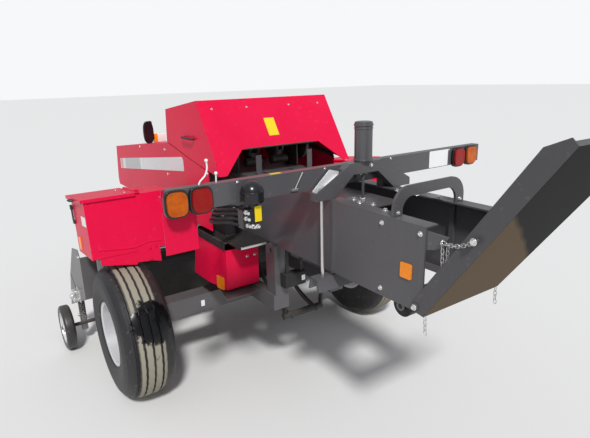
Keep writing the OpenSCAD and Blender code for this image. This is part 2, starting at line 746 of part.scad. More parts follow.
module pickup_frame() on_datum() color("dimgray") {
    difference() {
        union() {
            both_sides() {
                rod_x(lift_r, 284, lift_x - 1, lift_y, lift_z);
                across(284, 306) polygon([[lift_y - 30, lift_z - 20], [lift_y - 10, lift_z + 34],
                    [610, 760], [610, 690],
                    [lift_y + 10, lift_z - 36]]);
                // end plates
                across(reel_half + 12, reel_half + 20) polygon([[560, 690], [600, 790], [760, 760],
                    [1120, 480],
                    [1140, 330], [1010, 210], [820, 190], [660, 220], [600, 560]]);
                // legs of the gauge wheels
                across(reel_half + 19, reel_half + 29) polygon([[700, 500], [760, 520], [1000, 190],
                    [950, 150]]);
                rod_x(14, reel_half + 24, gauge_x + 40, reel_y + 20, gauge_r);
            }
            block([-reel_half - 16, 540, 690], [reel_half + 16, 610, 760]);
            // pan behind the reel
            across(-reel_half - 16, reel_half + 16) polygon([[600, 692], [604, 692], [687, 256],
                [683, 256]]);
        }
        rod_x(24 + run_gap, -reel_half - 21, reel_half + 21, reel_y, reel_z);
        rod_x(12 + run_gap, -reel_half - 21, reel_half + 21, guard_y, guard_z);
    }
}

module pickup_shields() on_datum() color("#5a5a60") {
    rear = 562;
    low = 522;
    both_sides() {
        across(shield_x - 4, shield_x) polygon([[rear, low], [rear, 832], [605, 878], [808, 837],
            [1057, 564], [1248, 228]]);
        // bent-in rear edge, just ahead of the tyre
        block([1052, rear, low], [shield_x, rear + 4, 832]);
        block([reel_half + 20, 620, 770], [shield_x - 4, 650, 800]);
        block([reel_half + 29, 760, 440], [shield_x - 4, 790, 470]);
    }
}

// Side view of one stripper band, from the toolbar round the reel to the lower rail
module band_shape() {
    r = bar_r + 52;
    translate([reel_y, reel_z]) difference() {
        circle(r);
        circle(r - 4);
        polygon([[0, 0], [78, 154], [-500, 500], [-500, -100], [-80, -154]]);
    }
    polygon([[610 + seat_gap, 741], [reel_y + 77, reel_z + 154], [reel_y + 77, reel_z + 150],
        [610 + seat_gap, 737]]);
    polygon([[690, 238], [reel_y - 80, reel_z - 150], [reel_y - 80, reel_z - 154], [690, 234]]);
}
module stripper_bands() on_datum() color("silver") {
    step = 2 * reel_half / tines;
    for (i = [0 : tines - 1]) across(-reel_half + (i + 0.5) * step - 14,
        -reel_half + (i + 0.5) * step + 14) band_shape();
    block([-reel_half - 12, 668, 222], [reel_half + 12, 692, 250]);
    block([-reel_half - 12, 610 + seat_gap, 725], [reel_half + 12, 614, 745]);
}

module pickup_reel() on_datum() color("#3a3a3c") translate([0, reel_y, reel_z]) {
    step = 2 * reel_half / tines;
    rod_x(24, -reel_half - 19, reel_half + 19, 0, 0);
    for (s = [-1, 0, 1]) rod_x(bar_r + 16, s * (reel_half - 14) - 5, s * (reel_half - 14) + 5, 0, 0);
    for (b = [0 : bars - 1]) rotate([b * 360 / bars, 0, 0]) {
        rod_x(14, -reel_half + 8, reel_half - 8, 0, bar_r);
        for (i = [1 : tines - 1]) translate([-reel_half + i * step, 0, bar_r]) rotate([12, 0, 0])
            cylinder(r = 3.5, h = tine_r - bar_r, $fn = 6);
    }
}

module wind_guard() on_datum() color("dimgray") {
    first = 190;
    step = (reel_half - 45 - first) / 5;
    rod_x(12, -reel_half - 20, reel_half + 20, guard_y, guard_z);
    both_sides() for (i = [0 : 5]) translate([first + i * step, guard_y, guard_z]) rotate([-112, 0, 0])
        cylinder(r = 6, h = 480);
}

// Front marker lamps: an oval disc and a lamp on a bracket over the front cover
module front_markers() on_datum() color("#222226") {
    y = 1400;
    slope = (cover_line[0][1] - cover_line[1][1]) / (cover_line[1][0] - cover_line[0][0]);
    base = cover_line[0][1] - (y - cover_line[0][0]) * slope + seat_gap;
    both_sides() {
        block([215, y, base], [235, y + 6, 1525]);
        block([215, y, 1485], [330, y + 6, 1525]);
        translate([300, y, 1582]) rotate([90, 0, 0]) linear_extrude(14) {
            square([34, 94], center = true);
            for (z = [-47, 47]) translate([0, z]) circle(17);
        }
        block([186, y - 30, 1488], [278, y, 1530]);
    }
}

module feed_housing() on_datum() color("dimgray") {
    both_sides() across(rail_in - 14, rail_in - 6)
        polygon([[190, 700], [190, chamber_bot], [600, chamber_bot], [600, 880], [520, 800],
            [520, 560], [420, 520]]);
    across(-rail_in + 7, rail_in - 7) polygon([[190, 700], [420, 520], [520, 560], [520, 568],
        [420, 530], [198, 704],
        [198, chamber_bot], [190, chamber_bot]]);
}

module gauge_wheel() translate([gauge_x, reel_y + 20, gauge_r]) rotate([0, 90, 0]) {
    difference() {
        union() {
            rotate_extrude($fn = 72) polygon([[100, -gauge_w / 2 + 8], [gauge_r - 14, -gauge_w / 2],
                [gauge_r, -gauge_w / 2 + 16],
                [gauge_r, gauge_w / 2 - 16], [gauge_r - 14, gauge_w / 2], [100, gauge_w / 2 - 8]]);
            translate([0, 0, -10]) cylinder(r = 101, h = 20);
            translate([0, 0, -34]) cylinder(r = 30, h = 68);
        }
        translate([0, 0, -40]) cylinder(r = 14 + run_gap, h = 80);
    }
}
module gauge_wheel_left() on_datum() color("#3a3a3c") mirror([1, 0, 0]) gauge_wheel();
module gauge_wheel_right() on_datum() color("#3a3a3c") gauge_wheel();

module tyre() translate([wheel_x, wheel_y, tyre_r]) rotate([0, 90, 0]) rotate_extrude($fn = 72) {
    h = tyre_w / 2;
    r = tyre_r;
    // outer outline of one half, from the bead over the shoulder to the middle of the tread
    out = [[rim_r + seat_gap, h - 42], [rim_r + 18, h - 12], [317, h], [r - 57, h - 14],
        [r - 24, h - 43], [r, h - 95]];
    in = [[r - 30, h - 95], [317, h - 22], [rim_r + 30, h - 32], [rim_r + seat_gap, h - 62]];
    polygon(concat([for (p = out) p], [for (i = [len(out) - 1 : -1 : 0]) [out[i][0], -out[i][1]]],
        [for (i = [len(in) - 1 : -1 : 0]) [in[i][0], -in[i][1]]], [for (p = in) p]));
}
module tyre_left() on_datum() color("#38383a") mirror([1, 0, 0]) tyre();
module tyre_right() on_datum() color("#38383a") tyre();

module rim() translate([wheel_x, wheel_y, tyre_r]) rotate([0, 90, 0]) {
    h = tyre_w / 2 - 26;
    inner = beam_end + 18 - wheel_x;
    difference() {
        union() {
            rotate_extrude($fn = 72) polygon([[rim_r - 10, -h], [rim_r + 10, -h - 6],
                [rim_r + 10, -h - 2], [rim_r, -h + 8], [rim_r, h - 8],
                [rim_r + 10, h + 2], [rim_r + 10, h + 6], [rim_r - 10, h]]);
            rotate_extrude($fn = 72) polygon([[40, -30], [100, -30], [150, 10], [rim_r - 5, 10],
                [rim_r - 5, 18], [146, 18], [96, -22], [40, -22]]);
            translate([0, 0, inner]) cylinder(r = 62, h = 10 - inner);
            translate([0, 0, 9]) cylinder(r = 48, h = 30);
        }
        translate([0, 0, inner - 1]) cylinder(r = spindle_r + run_gap, h = -inner - 14);
    }
}
module rim_left() on_datum() color("silver") mirror([1, 0, 0]) rim();
module rim_right() on_datum() color("silver") rim();

chassis();
drawbar_neck();
drawbar();
hitch();
bale_chamber();
rear_arch();
tension_yoke();
tension_cylinder();
tie_rods();
tension_channel();
tension_plate();
plunger();
rear_roller();
chute();
lamp_bar();
lamp_housings();
amber_lamps();
red_lamps();
lamp_plate();
density_valve();
valve_platform();
guard_box();
knotter_hood();
knotters();
side_covers();
front_cover();
cover_brackets();
twine_box_left();
twine_box_right();
twine_lid_left();
twine_lid_right();
needle_yoke();
gearbox();
flywheel();
pto_shaft();
jack_tube();
jack_leg();
pickup_frame();
pickup_shields();
stripper_bands();
pickup_reel();
wind_guard();
feed_housing();
front_markers();
gauge_wheel_left();
gauge_wheel_right();
tyre_left();
tyre_right();
rim_left();
rim_right();
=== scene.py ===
# Square baler, parked on its jack: finish and small parts for every piece, in metres.
# +Y is the way it travels, +X its right side, Z = 0 the ground.
import json
import math

import bmesh
import bpy
import numpy as np
from mathutils import Matrix, Vector


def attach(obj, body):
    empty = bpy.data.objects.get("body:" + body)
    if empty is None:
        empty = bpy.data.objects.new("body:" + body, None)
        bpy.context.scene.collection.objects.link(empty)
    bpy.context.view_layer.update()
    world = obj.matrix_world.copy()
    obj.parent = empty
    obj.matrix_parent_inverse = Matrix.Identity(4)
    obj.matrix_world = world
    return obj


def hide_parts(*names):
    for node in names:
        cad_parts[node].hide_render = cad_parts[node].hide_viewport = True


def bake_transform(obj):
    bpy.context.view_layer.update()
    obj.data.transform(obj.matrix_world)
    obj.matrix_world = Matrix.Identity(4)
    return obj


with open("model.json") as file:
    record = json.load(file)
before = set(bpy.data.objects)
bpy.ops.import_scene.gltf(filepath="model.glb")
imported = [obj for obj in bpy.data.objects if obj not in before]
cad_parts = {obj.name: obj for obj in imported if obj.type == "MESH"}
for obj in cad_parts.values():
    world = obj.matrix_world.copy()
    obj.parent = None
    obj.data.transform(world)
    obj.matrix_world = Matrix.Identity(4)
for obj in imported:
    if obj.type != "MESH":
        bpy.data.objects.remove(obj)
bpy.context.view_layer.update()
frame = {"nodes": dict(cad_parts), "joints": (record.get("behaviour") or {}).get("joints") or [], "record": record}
nodes = frame["nodes"]
jointPlace = {j["name"]: Vector(j["pos_m"]) for j in frame["joints"] if "pos_m" in j}
print("frame loaded:", len(nodes), "nodes")

# Places along Y are given from a line under the chamber, 1.593 m ahead of the chute's hinge
machine = {"hingeBehind": 1.593, "sides": {"left": -1, "right": 1}, "labelThick": 0.0008}
machine["lineY"] = jointPlace["chute_hinge"].y + machine["hingeBehind"]


def fromLine(place):
    x, y, z = place
    return Vector((x, y + machine["lineY"], z))


# Camera at the photograph's viewing angle
camera = {"place": (-1.711, -2.850, 1.966), "yaw": 34.38, "pitch": 16.01, "roll": 1.50,
          "focalPixels": 490.0, "widthPixels": 590, "sensor": 36, "clip": (0.05, 200)}


def makeCamera():
    yaw, pitch, roll = (math.radians(camera[k]) for k in ("yaw", "pitch", "roll"))
    ahead = Vector((math.sin(yaw) * math.cos(pitch), math.cos(yaw) * math.cos(pitch), -math.sin(pitch)))
    side = Vector((math.cos(yaw), -math.sin(yaw), 0))
    upward = side.cross(ahead)
    sideRolled = side * math.cos(roll) - upward * math.sin(roll)
    upRolled = upward * math.cos(roll) + side * math.sin(roll)
    turn = Matrix((sideRolled, upRolled, -ahead)).transposed()
    data = bpy.data.cameras.new("camera")
    data.sensor_width = camera["sensor"]
    data.lens = camera["focalPixels"] / camera["widthPixels"] * camera["sensor"]
    data.clip_start, data.clip_end = camera["clip"]
    obj = bpy.data.objects.new("camera", data)
    bpy.context.scene.collection.objects.link(obj)
    obj.matrix_world = Matrix.Translation(fromLine(camera["place"])) @ turn.to_4x4()
    bpy.context.scene.camera = obj


makeCamera()
print("camera placed")

# Studio: pale floor, a wide soft sun from behind on the left, and an even sky
studio = {"floorHalf": 80.0, "floorColour": (0.72, 0.715, 0.70, 1), "floorRough": 0.95, "floorShine": 0.1,
          "sunFrom": (-0.434, -0.845, 1.0), "sunAngle": 7.0, "sunStrength": 2.9,
          "skyColour": (0.90, 0.94, 1.0, 1), "skyStrength": 0.50,
          "backColour": (0.93, 0.94, 0.95, 1), "backStrength": 1.0}


def makeFloor():
    half = studio["floorHalf"]
    mesh = bpy.data.meshes.new("floor")
    corners = [(-half, -half, 0), (half, -half, 0), (half, half, 0), (-half, half, 0)]
    mesh.from_pydata(corners, [], [(0, 1, 2, 3)])
    floor = bpy.data.objects.new("floor", mesh)
    bpy.context.scene.collection.objects.link(floor)
    stuff = bpy.data.materials.new("paleFloor")
    stuff.use_nodes = True
    shader = stuff.node_tree.nodes["Principled BSDF"]
    shader.inputs["Base Color"].default_value = studio["floorColour"]
    shader.inputs["Roughness"].default_value = studio["floorRough"]
    shader.inputs["Specular IOR Level"].default_value = studio["floorShine"]
    mesh.materials.append(stuff)


def makeLights():
    data = bpy.data.lights.new("softSun", "SUN")
    data.energy = studio["sunStrength"]
    data.angle = math.radians(studio["sunAngle"])
    lamp = bpy.data.objects.new("softSun", data)
    bpy.context.scene.collection.objects.link(lamp)
    lamp.rotation_euler = Vector(studio["sunFrom"]).to_track_quat("Z", "Y").to_euler()
    world = bpy.data.worlds.new("sky")
    bpy.context.scene.world = world
    world.use_nodes = True
    tree = world.node_tree
    back = tree.nodes["Background"]
    back.inputs["Color"].default_value = studio["skyColour"]
    back.inputs["Strength"].default_value = studio["skyStrength"]
    # what the camera sees past the floor is pale
    seen = tree.nodes.new("ShaderNodeBackground")
    seen.inputs["Color"].default_value = studio["backColour"]
    seen.inputs["Strength"].default_value = studio["backStrength"]
    path = tree.nodes.new("ShaderNodeLightPath")
    mix = tree.nodes.new("ShaderNodeMixShader")
    tree.links.new(path.outputs["Is Camera Ray"], mix.inputs[0])
    tree.links.new(back.outputs[0], mix.inputs[1])
    tree.links.new(seen.outputs[0], mix.inputs[2])
    tree.links.new(mix.outputs[0], tree.nodes["World Output"].inputs["Surface"])
    bpy.context.scene.view_settings.view_transform = "Standard"


makeFloor()
makeLights()
print("studio lit")


def addNode(tree, kind, inputs=None, **settings):
    node = tree.nodes.new(kind)
    for name, value in settings.items():
        setattr(node, name, value)
    for name, value in (inputs or {}).items():
        plug(tree, value, node.inputs[name])
    return node


def plug(tree, value, socket):
    # Links a socket, or sets a plain value
    if isinstance(value, bpy.types.NodeSocket):
        tree.links.new(value, socket)
    else:
        socket.default_value = value


def newGroup(name, inputs, outputs):
    # A node group with named sockets: a 4-long default is a colour, a 3-long one a vector, a number a value
    tree = bpy.data.node_groups.new(name, "ShaderNodeTree")
    kinds = {4: "NodeSocketColor", 3: "NodeSocketVector"}
    for label, default in inputs.items():
        kind = kinds[len(default)] if isinstance(default, tuple) else "NodeSocketFloat"
        tree.interface.new_socket(label, in_out="INPUT", socket_type=kind).default_value = default
    for label, kind in outputs.items():
        tree.interface.new_socket(label, in_out="OUTPUT", socket_type=kind)
    return tree, tree.nodes.new("NodeGroupInput").outputs, tree.nodes.new("NodeGroupOutput").inputs


def calc(tree, operation, a, b=0.0, clamp=False):
    return addNode(tree, "ShaderNodeMath", {0: a, 1: b}, operation=operation, use_clamp=clamp).outputs[0]


def plus(tree, first, *others):
    for other in others:
        first = calc(tree, "ADD", first, other)
    return first


def times(tree, first, *others):
    for other in others:
        first = calc(tree, "MULTIPLY", first, other)
    return first


def minus(tree, a, b):
    return calc(tree, "SUBTRACT", a, b)


def vectorCalc(tree, operation, a, b=(0.0, 0.0, 0.0), result=0):
    return addNode(tree, "ShaderNodeVectorMath", {0: a, 1: b}, operation=operation).outputs[result]


def along(tree, vector, letter):
    return addNode(tree, "ShaderNodeSeparateXYZ", {0: vector}).outputs[letter]


def noiseAt(tree, vector, scale, detail=6.0, rough=0.6):
    given = {"Vector": vector, "Scale": scale, "Detail": detail, "Roughness": rough}
    return addNode(tree, "ShaderNodeTexNoise", given).outputs["Fac"]


def stretch(tree, value, low, high, toLow=0.0, toHigh=1.0):
    given = {"Value": value, "From Min": low, "From Max": high, "To Min": toLow, "To Max": toHigh}
    return addNode(tree, "ShaderNodeMapRange", given, clamp=True).outputs["Result"]


def blendColour(tree, share, a, b):
    node = addNode(tree, "ShaderNodeMix", data_type="RGBA", blend_type="MIX")
    for number, value in ((0, share), (6, a), (7, b)):
        plug(tree, value, node.inputs[number])
    return node.outputs[2]


def objectPlace(tree):
    return addNode(tree, "ShaderNodeTexCoord").outputs["Object"]


# Weather on all paint: sizes are the noises' scales, ranges are where each mask goes from 0 to 1
weatherLook = {"dustColour": (0.40, 0.35, 0.28, 1), "broad": 1.7, "patch": 7, "fine": 160, "speck": 46,
               "peel": 420, "streak": (38, 38, 1.6), "streakRange": (0.52, 0.80), "speckRange": (0.66, 0.72),
               "upRange": (0.35, 0.95), "lowRange": (0.95, 0.10), "patchRange": (0.30, 0.68, 0.45, 1.0),
               "everywhere": 0.10, "streakShare": 0.35, "dustRough": 0.5, "patchRough": 0.10, "grit": 2.0}


def makeWeather():
    # New paint with light dust: cloudy shade, dust on what faces up and low down, specks and thin streaks
    look = weatherLook
    tree, given, out = newGroup(
        "weather",
        {"Paint": (0.5, 0.5, 0.5, 1), "Cloud": 0.1, "Dust Colour": look["dustColour"], "Dust": 0.1,
         "Low Dirt": 0.2, "Specks": 0.1, "Roughness": 0.3, "Peel": 1.0},
        {"Colour": "NodeSocketColor", "Roughness": "NodeSocketFloat", "Height": "NodeSocketFloat"})
    place = objectPlace(tree)
    patch = noiseAt(tree, place, look["patch"], 8, 0.62)
    shade = stretch(tree, noiseAt(tree, place, look["broad"], 3), 0.3, 0.7, -1.0, 1.0)
    cloudy = plus(tree, 1.0, times(tree, shade, given["Cloud"]))
    scaled = {0: given["Paint"], "Scale": cloudy}
    tinted = addNode(tree, "ShaderNodeVectorMath", scaled, operation="SCALE").outputs[0]
    facing = along(tree, addNode(tree, "ShaderNodeNewGeometry").outputs["Normal"], "Z")
    upward = stretch(tree, facing, *look["upRange"])
    lying = times(tree, plus(tree, upward, look["everywhere"]), given["Dust"])
    thrown = times(tree, stretch(tree, along(tree, place, "Z"), *look["lowRange"]), given["Low Dirt"])
    streaked = addNode(tree, "ShaderNodeMapping", {"Vector": place, "Scale": look["streak"]}).outputs[0]
    streak = stretch(tree, noiseAt(tree, streaked, 1.0, 3), *look["streakRange"])
    run = times(tree, streak, look["streakShare"], given["Dust"])
    speck = stretch(tree, noiseAt(tree, place, look["speck"], 2, 0.4), *look["speckRange"])
    cover = plus(tree, lying, thrown, run, times(tree, speck, given["Specks"]))
    cover = calc(tree, "MULTIPLY", cover, stretch(tree, patch, *look["patchRange"]), True)
    rough = plus(tree, given["Roughness"], times(tree, cover, look["dustRough"]))
    uneven = times(tree, minus(tree, patch, 0.5), look["patchRough"])
    peel = times(tree, noiseAt(tree, place, look["peel"], 2, 0.5), given["Peel"])
    grit = times(tree, noiseAt(tree, place, look["fine"], 3, 0.6), cover, look["grit"])
    tree.links.new(blendColour(tree, cover, tinted, given["Dust Colour"]), out["Colour"])
    tree.links.new(calc(tree, "ADD", rough, uneven, True), out["Roughness"])
    tree.links.new(plus(tree, peel, grit), out["Height"])
    return tree


def makeRing():
    # Distance of a point from an axis along X, for wheels: Radius comes out in metres
    tree, given, out = newGroup("ring", {"Axle": (0.0, 0.0, 0.0)}, {"Radius": "NodeSocketFloat"})
    away = vectorCalc(tree, "SUBTRACT", objectPlace(tree), given["Axle"])
    flat = vectorCalc(tree, "MULTIPLY", away, (0.0, 1.0, 1.0))
    tree.links.new(vectorCalc(tree, "LENGTH", flat, result="Value"), out["Radius"])
    return tree


weather = makeWeather()
ring = makeRing()


def coating(colour, cloud, dust, low, specks, rough, slot=None, metal=0.0, shine=0.5, coat=0.0):
    # Colour, cloudy shade, dust, dirt low down, specks and roughness; the slot is its own unless given
    return {"Paint": colour + (1,), "Cloud": cloud, "Dust": dust, "Low Dirt": low, "Specks": specks,
            "Roughness": rough, "slot": slot, "metal": metal, "shine": shine, "coat": coat}


finishes = {
    "red_paint": coating((0.700, 0.003, 0.050), 0.05, 0.04, 0.04, 0.06, 0.34, shine=0.12),
    "grey_paint": coating((0.080, 0.077, 0.084), 0.07, 0.08, 0.10, 0.10, 0.29),
    "pickup_grey": coating((0.100, 0.097, 0.104), 0.07, 0.08, 0.14, 0.12, 0.34),
    "zinc": coating((0.66, 0.66, 0.65), 0.05, 0.06, 0.08, 0.10, 0.28, metal=0.9),
    "bare_steel": coating((0.36, 0.34, 0.32), 0.15, 0.15, 0.25, 0.30, 0.42, metal=0.75),
    "dark_iron": coating((0.014, 0.013, 0.015), 0.10, 0.05, 0.10, 0.12, 0.50, shine=0.3),
    "black_plastic": coating((0.008, 0.008, 0.011), 0.04, 0.03, 0.06, 0.06, 0.24),
    "silver_paint": coating((0.66, 0.66, 0.67), 0.05, 0.08, 0.14, 0.30, 0.30, metal=0.35),
    "tyre_rubber": coating((0.013, 0.013, 0.017), 0.12, 0.06, 0.06, 0.20, 0.50, shine=0.35),
    "wheel_rubber": coating((0.014, 0.014, 0.017), 0.10, 0.06, 0.06, 0.12, 0.38),
    "amber_lens": coating((0.60, 0.120, 0.0005), 0.10, 0.0, 0.0, 0.0, 0.16, shine=0.3, coat=0.05),
    "red_lens": coating((0.30, 0.0008, 0.005), 0.10, 0.0, 0.0, 0.0, 0.16, shine=0.3, coat=0.05),
    # finishes of the small parts
    "reflector": coating((0.92, 0.26, 0.004), 0.10, 0.0, 0.0, 0.0, 0.16, "amber_lens", shine=0.3, coat=0.4),
    "yellowLabel": coating((0.82, 0.60, 0.01), 0.03, 0.04, 0.0, 0.15, 0.35, "amber_lens"),
    "whiteLabel": coating((0.80, 0.80, 0.79), 0.03, 0.05, 0.0, 0.15, 0.35, "silver_paint"),
    "silverStrip": coating((0.70, 0.68, 0.69), 0.04, 0.04, 0.0, 0.05, 0.25, "silver_paint", metal=0.15),
    "stripGrey": coating((0.46, 0.46, 0.47), 0.04, 0.04, 0.0, 0.05, 0.30, "silver_paint"),
    "wheelRim": coating((0.66, 0.66, 0.68), 0.05, 0.06, 0.10, 0.20, 0.28, "silver_paint", metal=0.35),
    "rubberTrim": coating((0.020, 0.020, 0.022), 0.10, 0.12, 0.10, 0.20, 0.60, "black_plastic"),
    "brightPlate": coating((0.80, 0.80, 0.80), 0.08, 0.02, 0.0, 0.10, 0.30, "zinc", metal=0.3),
    "dryBolt": coating((0.74, 0.74, 0.72), 0.05, 0.03, 0.03, 0.05, 0.25, "zinc", metal=0.75),
    # the chute, and insides given darker paint as painted shade, for where they lie in shade under the covers
    "chutePaint": coating((0.080, 0.077, 0.084), 0.07, 0.08, 0.10, 0.10, 0.29, "grey_paint", shine=0.22),
    "paintedShadeGrey": coating((0.022, 0.021, 0.023), 0.07, 0.08, 0.10, 0.10, 0.29, "grey_paint", shine=0.25),
    "paintedShadeSteel": coating((0.045, 0.042, 0.040), 0.15, 0.15, 0.25, 0.30, 0.42, "bare_steel", metal=0.2),
}
# pickup frame, feed housing, needle yoke and knotters take the darker finishes: painted shade
nodeFinish = {"chute": "chutePaint", "rim_left": "wheelRim", "rim_right": "wheelRim",
              "knotters": "paintedShadeSteel", "pickup_frame": "paintedShadeGrey", "feed_housing": "paintedShadeGrey",
              "needle_yoke": "paintedShadeGrey"}
surface = {"edge": 0.0025, "peelStrength": 0.12, "peelHeight": 0.0004, "coatRough": 0.08}
stuffs = {}


def makeFinish(name, look):
    stuff = bpy.data.materials.new(name)
    stuff.use_nodes = True
    tree = stuff.node_tree
    shader = tree.nodes["Principled BSDF"]
    group = addNode(tree, "ShaderNodeGroup", node_tree=weather)
    for label in ("Paint", "Cloud", "Dust", "Low Dirt", "Specks", "Roughness"):
        group.inputs[label].default_value = look[label]
    tree.links.new(group.outputs["Colour"], shader.inputs["Base Color"])
    tree.links.new(group.outputs["Roughness"], shader.inputs["Roughness"])
    edge = addNode(tree, "ShaderNodeBevel", {"Radius": surface["edge"]}, samples=3).outputs[0]
    bumpOn(tree, group.outputs["Height"], surface["peelStrength"], surface["peelHeight"], {"Normal": edge})
    shader.inputs["Metallic"].default_value = look["metal"]
    shader.inputs["Specular IOR Level"].default_value = look["shine"]
    shader.inputs["Coat Weight"].default_value = look["coat"]
    shader.inputs["Coat Roughness"].default_value = surface["coatRough"]
    stuffs[name] = stuff


def bumpOn(tree, heights, strength, distance, more=None):
    given = {"Height": heights, "Strength": strength, "Distance": distance, **(more or {})}
    bump = addNode(tree, "ShaderNodeBump", given)
    tree.links.new(bump.outputs[0], tree.nodes["Principled BSDF"].inputs["Normal"])


def pushColour(finish, mask, colour, roughness=None):
    # Lays a second colour, and a second roughness if given, over a finish where the mask is 1
    tree = stuffs[finish].node_tree
    shader = tree.nodes["Principled BSDF"]
    under = shader.inputs["Base Color"].links[0].from_socket
    tree.links.new(blendColour(tree, mask(tree), under, colour), shader.inputs["Base Color"])
    if roughness is not None:
        old = shader.inputs["Roughness"].links[0].from_socket
        mixed = addNode(tree, "ShaderNodeMix", {0: mask(tree), 2: old, 3: roughness}, data_type="FLOAT")
        tree.links.new(mixed.outputs[0], shader.inputs["Roughness"])


for name, look in finishes.items():
    makeFinish(name, look)

# Lens: fine upright ribs crossed by wider level ones, and uneven depth of colour
lensLook = {"ribs": 150.0, "rows": 60.0, "strength": 0.35, "height": 0.002, "deep": (0.25, 0.02, 0.0, 1),
            "clouds": 26, "cloudRange": (0.35, 0.65, 0.0, 0.45)}
# Reflector: a honeycomb of small prisms
prisms = {"scale": 210.0, "randomness": 0.15, "strength": 0.6, "height": 0.002}


def ribbed(tree, place, scale, letter):
    given = {"Vector": place, "Scale": scale, "Distortion": 0.0}
    return addNode(tree, "ShaderNodeTexWave", given, bands_direction=letter).outputs["Fac"]


def cloudedLens(tree):
    return stretch(tree, noiseAt(tree, objectPlace(tree), lensLook["clouds"], 2), *lensLook["cloudRange"])


for name in ("amber_lens", "red_lens"):
    tree = stuffs[name].node_tree
    place = objectPlace(tree)
    ribs = plus(tree, ribbed(tree, place, lensLook["ribs"], "X"), ribbed(tree, place, lensLook["rows"], "Z"))
    bumpOn(tree, ribs, lensLook["strength"], lensLook["height"])
    pushColour(name, cloudedLens, lensLook["deep"])

tree = stuffs["reflector"].node_tree
given = {"Vector": objectPlace(tree), "Scale": prisms["scale"], "Randomness": prisms["randomness"]}
cells = addNode(tree, "ShaderNodeTexVoronoi", given, feature="DISTANCE_TO_EDGE")
bumpOn(tree, cells.outputs["Distance"], prisms["strength"], prisms["height"])

for part in frame["record"]["subparts"]:
    mesh = nodes[part["node"]].data
    mesh.materials.clear()
    mesh.materials.append(stuffs[nodeFinish.get(part["node"], part["material_slot"])])
print("finishes made:", len(stuffs))


def gridFaces(rows, columns, wrapRows=False, wrapColumns=False):
    # Quads of a grid of points, row by row
    r = np.arange(rows if wrapRows else rows - 1)[:, None]
    c = np.arange(columns if wrapColumns else columns - 1)[None, :]
    r2, c2 = (r + 1) % rows, (c + 1) % columns
    corners = (r * columns + c, r2 * columns + c, r2 * columns + c2, r * columns + c2)
    return np.stack(np.broadcast_arrays(*corners), -1).reshape(-1, 4).tolist()


def unit(v):
    v = np.asarray(v, float)
    return v / np.linalg.norm(v)


def sideways(axis):
    # An axis and two directions square to it, right-handed
    a = unit(axis)
    b = unit(np.cross(a, (0, 0, 1) if abs(a[2]) < 0.9 else (1, 0, 0)))
    return a, b, np.cross(a, b)


def turned(profile, centre, axis, steps=40):
    # Turned shape: point(t, s) = centre + along(s) * axis + radius(s) * (cos t * b + sin t * c)
    a, b, c = sideways(axis)
    radius, rise = np.asarray(profile, float).T
    t = np.arange(steps) * 2 * math.pi / steps
    spoke = np.cos(t)[:, None] * b + np.sin(t)[:, None] * c
    points = np.asarray(centre) + rise[None, :, None] * a + radius[None, :, None] * spoke[:, None, :]
    return points.reshape(-1, 3), gridFaces(steps, len(radius), wrapRows=True)


def tube(path, radius, sides=10, closed=False):
    # Round bar along a path: point(i, t) = path(i) + radius * (cos t * b(i) + sin t * c(i)), with capped ends
    path = np.asarray(path, float)
    ahead = np.roll(path, -1, 0) - np.roll(path, 1, 0) if closed else np.gradient(path, axis=0)
    ahead /= np.linalg.norm(ahead, axis=1)[:, None]
    fixed = np.eye(3)[np.argmin(np.abs(ahead).max(0))]
    b = np.cross(ahead, fixed)
    b /= np.linalg.norm(b, axis=1)[:, None]
    c = np.cross(ahead, b)
    t = np.arange(sides) * 2 * math.pi / sides
    spoke = np.cos(t)[None, :, None] * b[:, None] + np.sin(t)[None, :, None] * c[:, None]
    points = (path[:, None] + radius * spoke).reshape(-1, 3)
    faces = gridFaces(len(path), sides, wrapRows=closed, wrapColumns=True)
    if not closed:
        faces += [list(range(sides)), list(range(len(points) - sides, len(points)))]
    return points, faces


def smooth(points, per=8):
    # Catmull-Rom curve through the given points
    p = np.asarray(points, float)
    p = np.vstack([2 * p[0] - p[1], p, 2 * p[-1] - p[-2]])
    t = (np.arange(per) / per)[:, None, None]
    a, b, c, d = p[:-3], p[1:-2], p[2:-1], p[3:]
    square, cube = 2 * a - 5 * b + 4 * c - d, 3 * b - a - 3 * c + d
    curve = 0.5 * (2 * b + (c - a) * t + square * t ** 2 + cube * t ** 3)
    return np.vstack([curve.transpose(1, 0, 2).reshape(-1, p.shape[1]), p[-2]])


def prism(outline, depth, centre, across, upward):
    # Flat outline carried along its normal: point = centre + x * across + y * upward + (0 or depth) * normal
    outline = np.asarray(outline, float)
    u, v = unit(across), unit(upward)
    flat = np.asarray(centre) + outline[:, :1] * u + outline[:, 1:] * v
    n = len(outline)
    around = [[i, (i + 1) % n, n + (i + 1) % n, n + i] for i in range(n)]
    ends = [list(range(n))[::-1], list(range(n, 2 * n))]
    return np.vstack([flat, flat + depth * np.cross(u, v)]), around + ends


def roundedRectangle(width, height, corner, steps=5):
    # Corners are quarter circles, the outline runs counterclockwise
    t = np.linspace(0, math.pi / 2, steps)
    arc = corner * np.stack([np.cos(t), np.sin(t)], -1)
    turn = np.array([[0, -1], [1, 0]])
    place = np.array([[1, 1], [-1, 1], [-1, -1], [1, -1]]) * (np.array([width, height]) / 2 - corner)
    return np.vstack([arc @ np.linalg.matrix_power(turn, k).T + place[k] for k in range(4)])


def card(centre, normal, upward, width, height, thick=0.0012, corner=0.004):
    # Thin plate with round corners, its back on the centre point
    w = unit(normal)
    v = unit(np.asarray(upward, float) - np.dot(upward, w) * w)
    return prism(roundedRectangle(width, height, corner), thick, centre, np.cross(v, w), v)


def blankLabel(centre, normal, upward, size):
    return card(centre, normal, upward, *size, machine["labelThick"])


